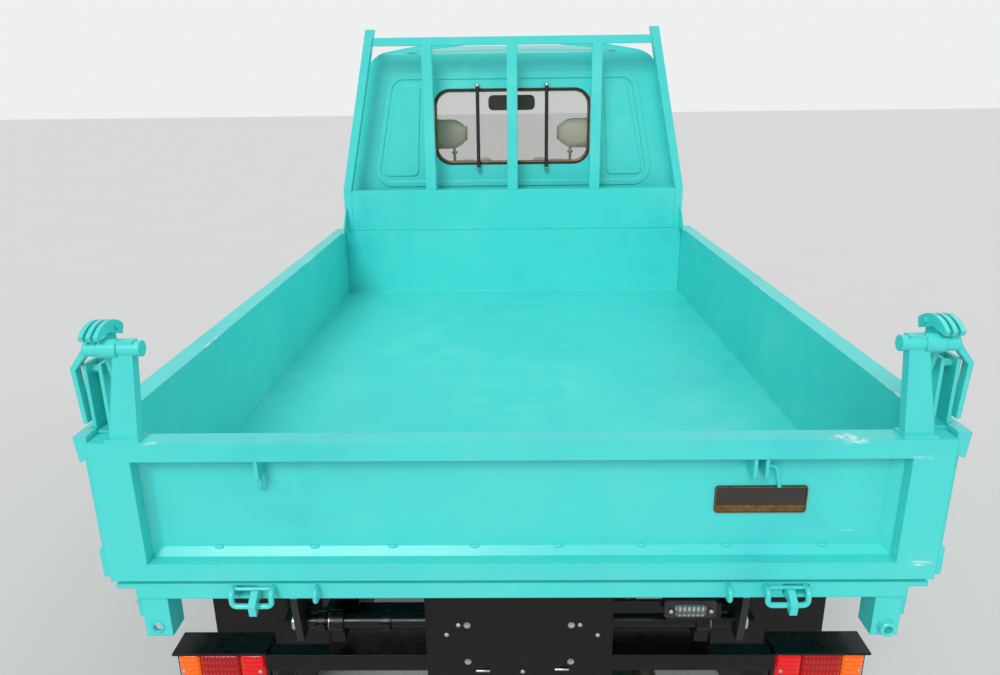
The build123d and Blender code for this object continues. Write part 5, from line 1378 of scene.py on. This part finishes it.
# Piping that follows each pad's edge, found on the finished pads
def edgeLoop(pad, limit):
    middle = sum((v.co for v in pad.data.vertices), Vector()) / len(pad.data.vertices)

    def turnOf(p):
        return math.atan2(p.z - middle.z, p.y - middle.y)

    ring = [v.co.copy() for v in pad.data.vertices if abs(v.co.x - limit) < seat["piping"]["near"]]
    ring.sort(key=turnOf)
    sampled = []
    bins = seat["piping"]["bins"]
    for i in range(bins):
        low, high = -math.pi + 2 * math.pi * i / bins, -math.pi + 2 * math.pi * (i + 1) / bins
        near = [p for p in ring if low <= turnOf(p) < high]
        if near:
            far = max(near, key=lambda p: (p.y - middle.y) ** 2 + (p.z - middle.z) ** 2)
            sampled.append(Vector((limit, far.y, far.z)))
    return sampled


pipingPaths = []
for pad, piece in zip(seatPads, cushions.values()):
    for side in (-1, 1):
        loop = edgeLoop(pad, seat["x"] + side * (piece["half"] - seat["piping"]["inset"]))
        if len(loop) > 12:
            eased = [(loop[i - 1] + loop[i] * 2 + loop[(i + 1) % len(loop)]) / 4 for i in range(len(loop))]
            pipingPaths.append(eased)
piping = layTube("seat_piping_left", pipingPaths, seat["piping"]["radius"], "pipingVinyl", "root",
                 "seat_cloth", sides=8, closed=True)
settle(mirrored(piping, "seat_piping_right", finishes["pipingVinyl"]), "root", "seat_cloth")
bm = bmesh.new()
for side in (-1, 1):
    for apart in (-seat["post"]["x"], seat["post"]["x"]):
        for part, sides, bevel in (("post", 16, 0.0), ("collar", 20, 0.002)):
            foot, head = ((-side * seat["x"] + apart, seat["rear"] + y, seat["low"] + z)
                          for y, z in (seat[part]["foot"], seat[part]["head"]))
            addRound(bm, foot, head, seat[part]["radius"], sides=sides, bevel=bevel)
dress(bm, "head_restraint_posts", "zinc", "root", "rod_chrome")
print("seat trim made")


# Headlamps: a bowl, a bulb and a lens that follows the nose, with an amber lamp over the outer end

headlamp = {
    "low": (0.465, 0.625),
    "high": (0.655, 0.755),
    "corner": 0.025,
    "inner": 0.012,
    "amber": 0.045,
    "lens": ((0, -0.010), (0, -0.0015), (0.0015, 0.0002), (0.008, 0.0008), (0.020, 0.0012), (0.045, 0.0014)),
    "amberLens": ((0, -0.020), (0, -0.0015), (0.0015, 0.0002), (0.006, 0.0008), (0.016, 0.0010)),
    "bezel": ((0, -0.030), (0, -0.0002), (0.0012, 0.0006), (0.0022, -0.0002), (0.0022, -0.030)),
    "bar": ((1.565, 0.627), (1.594, 0.753)),
    "bowl": ((0.0008, -0.012), (0.006, -0.024), (0.018, -0.042), (0.036, -0.052), (0.050, -0.055)),
    "bulb": [(0.0004, 0.030), (0.0050, 0.028), (0.0072, 0.022), (0.0076, 0.006), (0.0120, 0.002),
             (0.0130, -0.004), (0.0004, -0.005)],
    "focus": (0.535, 1.567, 0.690),
}


def lampOutline(side, grow, near=None, far=None):
    (left, foot), (right, head) = headlamp["low"], headlamp["high"]
    return sideRectangle(side, (near or left + grow, foot + grow), (far or right - grow, head - grow))


bowls, lenses, ambers, bezels, bulbs = (bmesh.new() for _ in range(5))
split = headlamp["high"][0] - headlamp["amber"]
for side in (-1, 1):
    inner = headlamp["inner"]
    clear = lampOutline(side, 0.0020, far=split - 0.0008)
    addLid(lenses, clear, inner, headlamp["lens"], nosePlace)
    addLid(ambers, lampOutline(side, 0.0020, near=split + 0.0008), inner, headlamp["amberLens"], nosePlace)
    addFrame(bezels, lampOutline(side, 0.0005), headlamp["corner"], headlamp["bezel"], nosePlace)
    left, right = sorted((side * (split - 0.0009), side * (split + 0.0009)))
    addBox(bezels, (left, *headlamp["bar"][0]), (right, *headlamp["bar"][1]))
    rings = addFrame(bowls, clear, inner, headlamp["bowl"], nosePlace, closed=False)
    bowls.faces.new(rings[-1])
    x, y, z = headlamp["focus"]
    addTurned(bulbs, headlamp["bulb"], (side * x, y, z), (0, 1, 0), steps=20, closed=False)
dress(bowls, "headlamp_bowls", "mirrorSilver", "root", "rod_chrome", smooth=50)
dress(bulbs, "headlamp_bulbs", "clearLens", "root", "glass")
dress(lenses, "headlamp_lenses", "headLens", "root", "lamp_glass", "headlamps", smooth=50)
dress(ambers, "indicator_lenses", "lensAmber", "root", "lamp_red", smooth=50)
dress(bezels, "headlamp_bezels", "grainedBlack", "root", "black_plastic")

# Fins and a backing behind the grille's slots, and bars and a backing behind the bumper's opening
grille = {"fins": 85, "step": 0.01, "half": 0.0009, "wide": 0.430, "low": 0.640, "high": 0.740}
bm = bmesh.new()
for k in range(grille["fins"]):
    x = -0.42 + grille["step"] * k
    addBox(bm, (x - grille["half"], 1.5655, grille["low"]), (x + grille["half"], 1.5795, grille["high"]))
low, high = grille["low"] - 0.004, grille["high"] + 0.004
addBox(bm, (-grille["wide"], 1.5600, low), (grille["wide"], 1.5660, high), 0.001)
dress(bm, "grille_core", "grainedBlack", "root", "black_plastic", smooth=0)

opening = {"bars": 5, "barStep": 0.010, "uprights": 27, "step": 0.019, "wide": 0.256, "backing": 0.262}
bm = bmesh.new()
for k in range(opening["bars"]):
    z = 0.360 + opening["barStep"] * k
    addBox(bm, (-opening["wide"], 1.6300, z - 0.0012), (opening["wide"], 1.6370, z + 0.0012), 0.0004, 1)
for k in range(opening["uprights"]):
    x = -0.247 + opening["step"] * k
    addBox(bm, (x - 0.0010, 1.6285, 0.357), (x + 0.0010, 1.6320, 0.403))
addBox(bm, (-opening["backing"], 1.6200, 0.352), (opening["backing"], 1.6245, 0.408), 0.001)
dress(bm, "bumper_mesh", "grainedBlack", "root", "black_plastic")


# Wipers: spindle, tapered arm, and a blade with its rubber

wiper = {
    "spindle": [(0.0004, 0.013), (0.0080, 0.012), (0.0100, 0.008), (0.0100, -0.004), (0.0004, -0.005)],
    "arm": ((0.0, 0.0065, 0.0035), (0.25, 0.0055, 0.0032), (0.55, 0.0032, 0.0018), (1.0, 0.0024, 0.0014)),
    "armSection": ((-1, -1), (1, -1), (1, 0.6), (0.6, 1), (-0.6, 1), (-1, 0.6)),
    "bow": {"start": 0.06, "step": 0.235, "long": 0.17, "low": 0.0085, "high": 0.0105, "radius": 0.0016},
    "rubber": ((-0.0030, 0.0086), (0.0030, 0.0086), (0.0030, 0.0066), (0.0008, 0.0052), (0.0004, 0.0012),
               (-0.0004, 0.0012), (-0.0008, 0.0052), (-0.0030, 0.0066)),
    "places": (((0.480, 1.008), (0.300, 1.062), ((0.555, 1.064), (0.090, 1.058))),
               ((-0.080, 1.006), (-0.290, 1.062), ((-0.060, 1.062), (-0.520, 1.060)))),
}


def addWiper(bm, rubber, pivot, tip, blade):
    normal = Vector(truck["screen"]["normal"])
    root, end = Vector(screenPlace(*pivot, 0.010)), Vector(screenPlace(*tip, 0.012))
    addTurned(bm, wiper["spindle"], screenPlace(*pivot, 0.002), normal, steps=20, closed=False)
    across = (end - root).normalized().cross(normal)
    rings = []
    for share, wide, tall in wiper["arm"]:
        at = root.lerp(end, share)
        points = [at + across * wide * a + normal * tall * b for a, b in wiper["armSection"]]
        rings.append([bm.verts.new(point) for point in points])
    capEnds(bm, skin(bm, rings))
    start, stop = (Vector(screenPlace(*p, 0.0)) for p in blade)
    lift = (stop - start).normalized().cross(normal)
    bow = wiper["bow"]
    for k in range(4):
        low = start.lerp(stop, bow["start"] + bow["step"] * k)
        high = start.lerp(stop, bow["start"] + bow["step"] * k + bow["long"])
        crown = low.lerp(high, 0.5) + normal * bow["high"]
        addRound(bm, low + normal * bow["low"], crown, bow["radius"], sides=8)
        addRound(bm, crown, high + normal * bow["low"], bow["radius"], sides=8)
    ends = [[rubber.verts.new(at + lift * a + normal * b) for a, b in wiper["rubber"]]
            for at in (start, stop)]
    capEnds(rubber, skin(rubber, ends))


arms, rubbers = bmesh.new(), bmesh.new()
for place in wiper["places"]:
    addWiper(arms, rubbers, *place)
dress(arms, "wiper_arms", "glossBlack", "root", "black_paint")
dress(rubbers, "wiper_blades", "sealRubber", "root", "black_plastic")
print("front fittings made")


# Doors: handle flap and key barrel, mirror glass, and the card inside with its crank and armrest

door = {
    "flap": (rectangle((0.588, 0.9195), (0.690, 0.9505)), 0.009,
             ((0, -0.0050), (0, 0.0005), (0.0012, 0.0020), (0.0060, 0.0030), (0.0120, 0.0032))),
    "cup": (rectangle((0.5785, 0.9115), (0.7115, 0.9585)), 0.013,
            ((0, -0.001), (0.0004, 0.0014), (0.0020, 0.0020), (0.0036, 0.0012), (0.0040, -0.006))),
    "key": [(0.0072, -0.002), (0.0072, 0.0030), (0.0060, 0.0038), (0.0022, 0.0038), (0.0020, 0.0020),
            (0.0004, 0.0020)],
    "keyAt": (0.5640, 0.9350),
    "inside": 0.6410,
    "card": ([(0.625, 0.740), (1.260, 0.740), (1.385, 0.800), (1.385, 0.965), (0.625, 0.965)], 0.030,
             ((0, -0.0005), (0, 0.0040), (0.0030, 0.0060), (0.0140, 0.0062), (0.0170, 0.0048),
              (0.0240, 0.0048))),
    "rest": (rectangle((0.740, 0.822), (1.020, 0.856)), 0.014,
             ((0, 0.004), (0, 0.0340), (0.0050, 0.0400), (0.0140, 0.0415))),
    "hub": [(0.0180, 0.0), (0.0180, 0.008), (0.0120, 0.012), (0.0004, 0.013)],
    "hubAt": (1.120, 0.880),
    "knob": [(0.0004, 0.0), (0.0090, 0.001), (0.0105, 0.010), (0.0090, 0.024), (0.0004, 0.026)],
    "knobOff": (0.020, -0.062, -0.042),
}
mirror = {
    "face": 1.4205,
    "glassLow": (0.7015, 1.1290),
    "glassHigh": (0.7885, 1.2910),
    "glass": (0.021, ((0, -0.0010), (0, 0.0006), (0.0016, 0.0013), (0.0200, 0.0014))),
    "rimLow": (0.6965, 1.1240),
    "rimHigh": (0.7935, 1.2960),
    "rim": (0.025, ((0, -0.0020), (0, 0.0020), (0.0015, 0.0034), (0.0042, 0.0024), (0.0050, -0.0010))),
}
for name, side in (("left", -1), ("right", 1)):
    body = f"door_{name}"
    bm = bmesh.new()
    face = side * truck["doorFace"]
    addLid(bm, *door["flap"], sidePlace(face, side))
    addFrame(bm, *door["cup"], sidePlace(face, side))
    addTurned(bm, door["key"], (face, *door["keyAt"]), (side, 0, 0), steps=24, closed=False)
    dress(bm, f"door_handle_{name}", "grainedBlack", body, "black_plastic")
    bm = bmesh.new()
    outline = sideRectangle(side, mirror["glassLow"], mirror["glassHigh"])
    addLid(bm, outline, *mirror["glass"], rearPlace(mirror["face"]))
    dress(bm, f"mirror_glass_{name}", "mirrorSilver", body, "glass")
    bm = bmesh.new()
    outline = sideRectangle(side, mirror["rimLow"], mirror["rimHigh"])
    addFrame(bm, outline, *mirror["rim"], rearPlace(mirror["face"]))
    dress(bm, f"mirror_rim_{name}", "grainedBlack", body, "black_plastic")
    bm = bmesh.new()
    inside = side * door["inside"]
    addLid(bm, *door["card"], sidePlace(inside, -side))
    addLid(bm, *door["rest"], sidePlace(inside, -side))
    dress(bm, f"door_card_{name}", "cabinGrey", body, "interior_plastic")
    bm = bmesh.new()
    hub = Vector((inside - side * 0.006, *door["hubAt"]))
    addTurned(bm, door["hub"], hub, (-side, 0, 0), steps=24, closed=False)
    out, *along = door["knobOff"]
    knob = hub + Vector((-side * out, *along))
    addRound(bm, hub + Vector((-side * 0.010, 0, 0)), knob, 0.0055, 0.0045, sides=14)
    addTurned(bm, door["knob"], knob, (-side, 0, 0), steps=20, closed=False)
    dress(bm, f"window_crank_{name}", "grainedBlack", body, "black_plastic")
print("doors dressed")


# Cab inside: gauge hood and dials, vents, levers, pedals, mirror and visors

dash = {
    "hood": ([(0.175, 0.962), (0.425, 0.962), (0.405, 1.032), (0.195, 1.032)], 0.020),
    "hoodY": 1.500,
    "shell": ((0, 0.0), (0, 0.110), (0.004, 0.114), (0.010, 0.110), (0.010, 0.030)),
    "back": ((0.0095, 0.028), (0.0095, 0.034), (0.0120, 0.036)),
    "vents": (((-0.560, 0.880), (-0.430, 0.925)), ((-0.110, 0.880), (0.020, 0.925)),
              ((0.450, 0.880), (0.560, 0.925))),
    "ventY": 1.392,
    "vent": ((0, -0.004), (0, 0.006), (0.003, 0.008), (0.006, 0.006), (0.006, -0.004)),
    "dials": ((0.250, 0.030), (0.325, 0.030), (0.382, 0.017)),
    "dialY": 1.4625,
    "dialZ": 0.997,
    "markHalf": Vector((0.0008, 0.0006, 0.0018)),
}
bm = bmesh.new()
addFrame(bm, *dash["hood"], dash["shell"], rearPlace(dash["hoodY"]), steps=6, closed=False)
addLid(bm, *dash["hood"], dash["back"], rearPlace(dash["hoodY"]))
for low, high in dash["vents"]:
    addFrame(bm, rectangle(low, high), 0.008, dash["vent"], rearPlace(dash["ventY"]))
    for k in range(4):
        z = low[1] + 0.009 + 0.009 * k
        addBox(bm, (low[0] + 0.007, 1.386, z), (high[0] - 0.007, 1.394, z + 0.0025), turn=(0.5, 0, 0))
dress(bm, "dash_hood_and_vents", "grainedBlack", "root", "interior_plastic")
bm = bmesh.new()
for x, radius in dash["dials"]:
    profile = [(radius, 0.0), (radius, 0.004), (radius - 0.002, 0.005), (radius - 0.004, 0.003),
               (0.0004, 0.003)]
    addTurned(bm, profile, (x, dash["dialY"], dash["dialZ"]), (0, -1, 0), steps=36, closed=False)
    for k in range(9):
        angle = math.radians(225 - 33.75 * k)
        spot = Vector((x + math.cos(angle) * radius * 0.75, 1.4592,
                       dash["dialZ"] + math.sin(angle) * radius * 0.75))
        addBox(bm, spot - dash["markHalf"], spot + dash["markHalf"])
dress(bm, "gauges", "dialPale", "root", "interior_plastic")

levers = {
    "rods": (
        ([(-0.020, 1.130, 0.714), (-0.020, 1.120, 0.800), (0.000, 1.080, 0.900), (0.005, 1.075, 0.945)],
         0.03),
        ([(0.040, 0.900, 0.714), (0.040, 0.930, 0.760), (0.040, 1.030, 0.800), (0.040, 1.085, 0.812)],
         0.03),
        ([(0.300, 1.330, 1.000), (0.380, 1.325, 1.006), (0.440, 1.318, 1.012)], 0.02),
        ([(0.300, 1.330, 1.000), (0.220, 1.325, 1.006), (0.160, 1.318, 1.012)], 0.02),
    ),
    "radius": 0.0055,
    "knob": [(0.0004, 0.040), (0.0150, 0.036), (0.0205, 0.022), (0.0180, 0.006), (0.0090, -0.004),
             (0.0004, -0.005)],
    "grip": [(0.0004, 0.100), (0.0110, 0.098), (0.0135, 0.085), (0.0125, 0.010), (0.0004, 0.0)],
}
rods = [smoothPath(*rod) for rod in levers["rods"]]
layTube("lever_rods", rods, levers["radius"], "zinc", "root", "rod_chrome")
bm = bmesh.new()
addTurned(bm, levers["knob"], (0.005, 1.075, 0.940), (0, -0.15, 1), steps=24, closed=False)
addTurned(bm, levers["grip"], (0.040, 1.010, 0.795), (0, 0.98, 0.16), steps=20, closed=False)
for step in range(5):
    radius = 0.048 - 0.007 * step
    profile = [(radius, 0.0), (radius + 0.004, 0.004), (radius, 0.009), (radius - 0.005, 0.009)]
    addTurned(bm, profile, (-0.020, 1.130, 0.713 + 0.009 * step), (0, 0, 1), steps=28)
dress(bm, "lever_grips_and_boot", "grainedBlack", "root", "interior_plastic")

bm = bmesh.new()
for x, wide, high in ((0.205, 0.028, 0.552), (0.290, 0.030, 0.552), (0.375, 0.020, 0.600)):
    addBox(bm, (x - wide, 1.4180, 0.500), (x + wide, 1.4260, high), 0.003, turn=(-0.4, 0, 0))
    addRound(bm, (x, 1.4260, 0.535), (x, 1.500, 0.720), 0.006, sides=10)
dress(bm, "pedals", "grainedBlack", "root", "black_plastic")

overhead = {
    "mirror": (rectangle((-0.112, 1.438), (0.112, 1.508)), 0.022,
               ((0, 0.0), (0, 0.010), (0.003, 0.013), (0.012, 0.0135))),
    "mirrorY": 1.205,
    "stalk": ((0, 1.204, 1.495), (0, 1.245, 1.590), 0.005),
    "visorLow": (0.130, 1.030),
    "visorHigh": (0.520, 1.180),
    "visor": (0.030, ((0, 0.0), (0.001, 0.006), (0.004, 0.009), (0.030, 0.010))),
    "visorZ": 1.590,
}
bm = bmesh.new()
addLid(bm, *overhead["mirror"], rearPlace(overhead["mirrorY"]))
addRound(bm, *overhead["stalk"], sides=12)
dress(bm, "inner_mirror", "grainedBlack", "root", "black_plastic")
bm = bmesh.new()
for side in (-1, 1):
    outline = sideRectangle(side, overhead["visorLow"], overhead["visorHigh"])
    addLid(bm, outline, *overhead["visor"], underPlace(overhead["visorZ"]))
dress(bm, "sun_visors", "cabinGrey", "root", "interior_plastic")
print("cab dressed inside")


# Below: fuel tank straps, flap strips, frame bolts, and the axle's clamps with their nuts

strap = {"along": (0.22, 0.78), "corner": 0.020,
         "section": ((-0.0025, -0.014), (-0.0025, 0.014), (0.0005, 0.014), (0.0005, -0.014))}
tankLow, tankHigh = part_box("fuel_tank")
bm = bmesh.new()
for share in strap["along"]:
    y = tankLow[1] + (tankHigh[1] - tankLow[1]) * share
    outline = rectangle((tankLow[0], tankLow[2]), (tankHigh[0], tankHigh[2]))
    addFrame(bm, outline, strap["corner"], strap["section"], frontPlace(y))
dress(bm, "tank_straps", "zinc", "root", "rod_chrome")

flap = {
    "rear": -1.2275,
    "low": (0.520, 0.530),
    "high": (0.675, 0.548),
    "boltX": (0.535, 0.598, 0.660),
    "boltZ": 0.539,
}
hanger = {"x": 0.462, "along": (-1.3925, -0.3925), "z": 0.430}
bm = bmesh.new()
for side in (-1, 1):
    outline = sideRectangle(side, flap["low"], flap["high"])
    addPlate(bm, outline, 0.003, -0.0002, 0.0025, rearPlace(flap["rear"]), 0.0006)
dress(bm, "flap_strips", "zinc", "root", "rod_chrome")
lowPlaces = [((side * x, flap["rear"] - 0.0023, flap["boltZ"]), (0, -1, 0))
             for side in (-1, 1) for x in flap["boltX"]]
lowPlaces += [((side * hanger["x"], y, hanger["z"]), (side, 0, 0))
              for side in (-1, 1) for y in hanger["along"]]
scatter("frame_bolts", "hex", lowPlaces, "yellowZinc", "root", "rod_chrome", size=1.1)

clamp = {
    "x": 0.430,
    "apart": 0.044,
    "half": 0.038,
    "low": 0.255,
    "high": 0.352,
    "bend": 0.012,
    "nut": 0.262,
    "radius": 0.005,
}
clampPaths, clampNuts = [], []
for side in (-1, 1):
    for y in (truck["rearAxle"] - clamp["apart"], truck["rearAxle"] + clamp["apart"]):
        left, right = side * clamp["x"] - clamp["half"], side * clamp["x"] + clamp["half"]
        corners = [(left, y, clamp["low"]), (left, y, clamp["high"]), (right, y, clamp["high"]),
                   (right, y, clamp["low"])]
        clampPaths.append(smoothPath(corners, clamp["bend"]))
        clampNuts += [((x, y, clamp["nut"]), (0, 0, -1)) for x in (left, right)]
layTube("axle_clamps", clampPaths, clamp["radius"], "chassisBlack", "root", "chassis_paint")
scatter("axle_clamp_nuts", "hex", clampNuts, "zinc", "root", "rod_chrome", size=0.95)
print("underside dressed")


# Camera, light and floor

# The photograph's own camera, fitted to the bed's corners: pitch, yaw and roll in degrees
view = {
    "place": (-0.010, -2.673, 1.514),
    "turn": (17.63, -0.88, 0.69),
    "sensor": 36,
    "focal": 766.8 / 1000 * 36,
}


def addCamera():
    pitch, yaw, roll = (math.radians(angle) for angle in view["turn"])
    ahead = Vector((math.sin(yaw) * math.cos(pitch), math.cos(yaw) * math.cos(pitch), -math.sin(pitch)))
    right = Vector((math.cos(yaw), -math.sin(yaw), 0))
    down = ahead.cross(right)
    across = right * math.cos(roll) + down * math.sin(roll)
    below = down * math.cos(roll) - right * math.sin(roll)
    turn = Matrix((across, -below, -ahead)).transposed().to_4x4()
    lens = bpy.data.cameras.new("photoCamera")
    lens.sensor_fit = "HORIZONTAL"
    lens.sensor_width = view["sensor"]
    lens.lens = view["focal"]
    lens.clip_start, lens.clip_end = 0.05, 200
    camera = bpy.data.objects.new("photoCamera", lens)
    scene.collection.objects.link(camera)
    camera.matrix_world = Matrix.Translation(view["place"]) @ turn
    scene.camera = camera


studio = {
    "world": 0.62,
    "lamps": (("key", 1.55, (-0.9, -3.2, 2.6), 24), ("fill", 0.5, (3.0, 1.5, 3.5), 60)),
    "backdrop": (0.86, 0.87, 0.87, 1.0),
    "floor": (214, 215, 214),
    "floorSize": 60,
}


def addLamps():
    for name, power, spot, spread in studio["lamps"]:
        lamp = bpy.data.lights.new(name, "SUN")
        lamp.energy = power
        lamp.angle = math.radians(spread)
        holder = bpy.data.objects.new(name, lamp)
        scene.collection.objects.link(holder)
        holder.location = spot
        holder.rotation_mode = "QUATERNION"
        holder.rotation_quaternion = (-Vector(spot)).to_track_quat("-Z", "Y")


# The camera sees the backdrop, straight or through glass; all other rays meet an even light
def addWorld():
    world = bpy.data.worlds.new("studioWorld")
    world.use_nodes = True
    tree = world.node_tree
    tree.nodes.clear()
    rays = tree.nodes.new("ShaderNodeLightPath").outputs
    mix = tree.nodes.new("ShaderNodeMixShader")
    feed(mix.inputs["Fac"], mathOf("MAXIMUM", rays["Is Camera Ray"], rays["Is Transmission Ray"]))
    for i, colour, strength in ((1, (1, 1, 1, 1), studio["world"]), (2, studio["backdrop"], 1.0)):
        light = tree.nodes.new("ShaderNodeBackground")
        light.inputs["Color"].default_value = colour
        light.inputs["Strength"].default_value = strength
        feed(mix.inputs[i], light.outputs["Background"])
    feed(tree.nodes.new("ShaderNodeOutputWorld").inputs["Surface"], mix.outputs["Shader"])
    scene.world = world


def addFloor():
    bm = bmesh.new()
    bmesh.ops.create_grid(bm, x_segments=4, y_segments=4, size=studio["floorSize"])
    finish, shader, coords = startFinish("floorPale", 0.8, specular=0.2)
    floor = closeMesh(bm, "studio_floor", finish, smooth=0, keepSides=True)
    pale = tone(studio["floor"])
    dim = (*(c * 0.97 for c in pale[:3]), 1.0)
    feed(shader["Base Color"], mixOf(grainOf(coords, 1.4, 4.0), dim, pale))


addCamera()
addLamps()
addWorld()
addFloor()
scene.view_settings.view_transform = "Standard"

for pattern in list(patterns.values()) + [sector]:
    bpy.data.objects.remove(pattern)
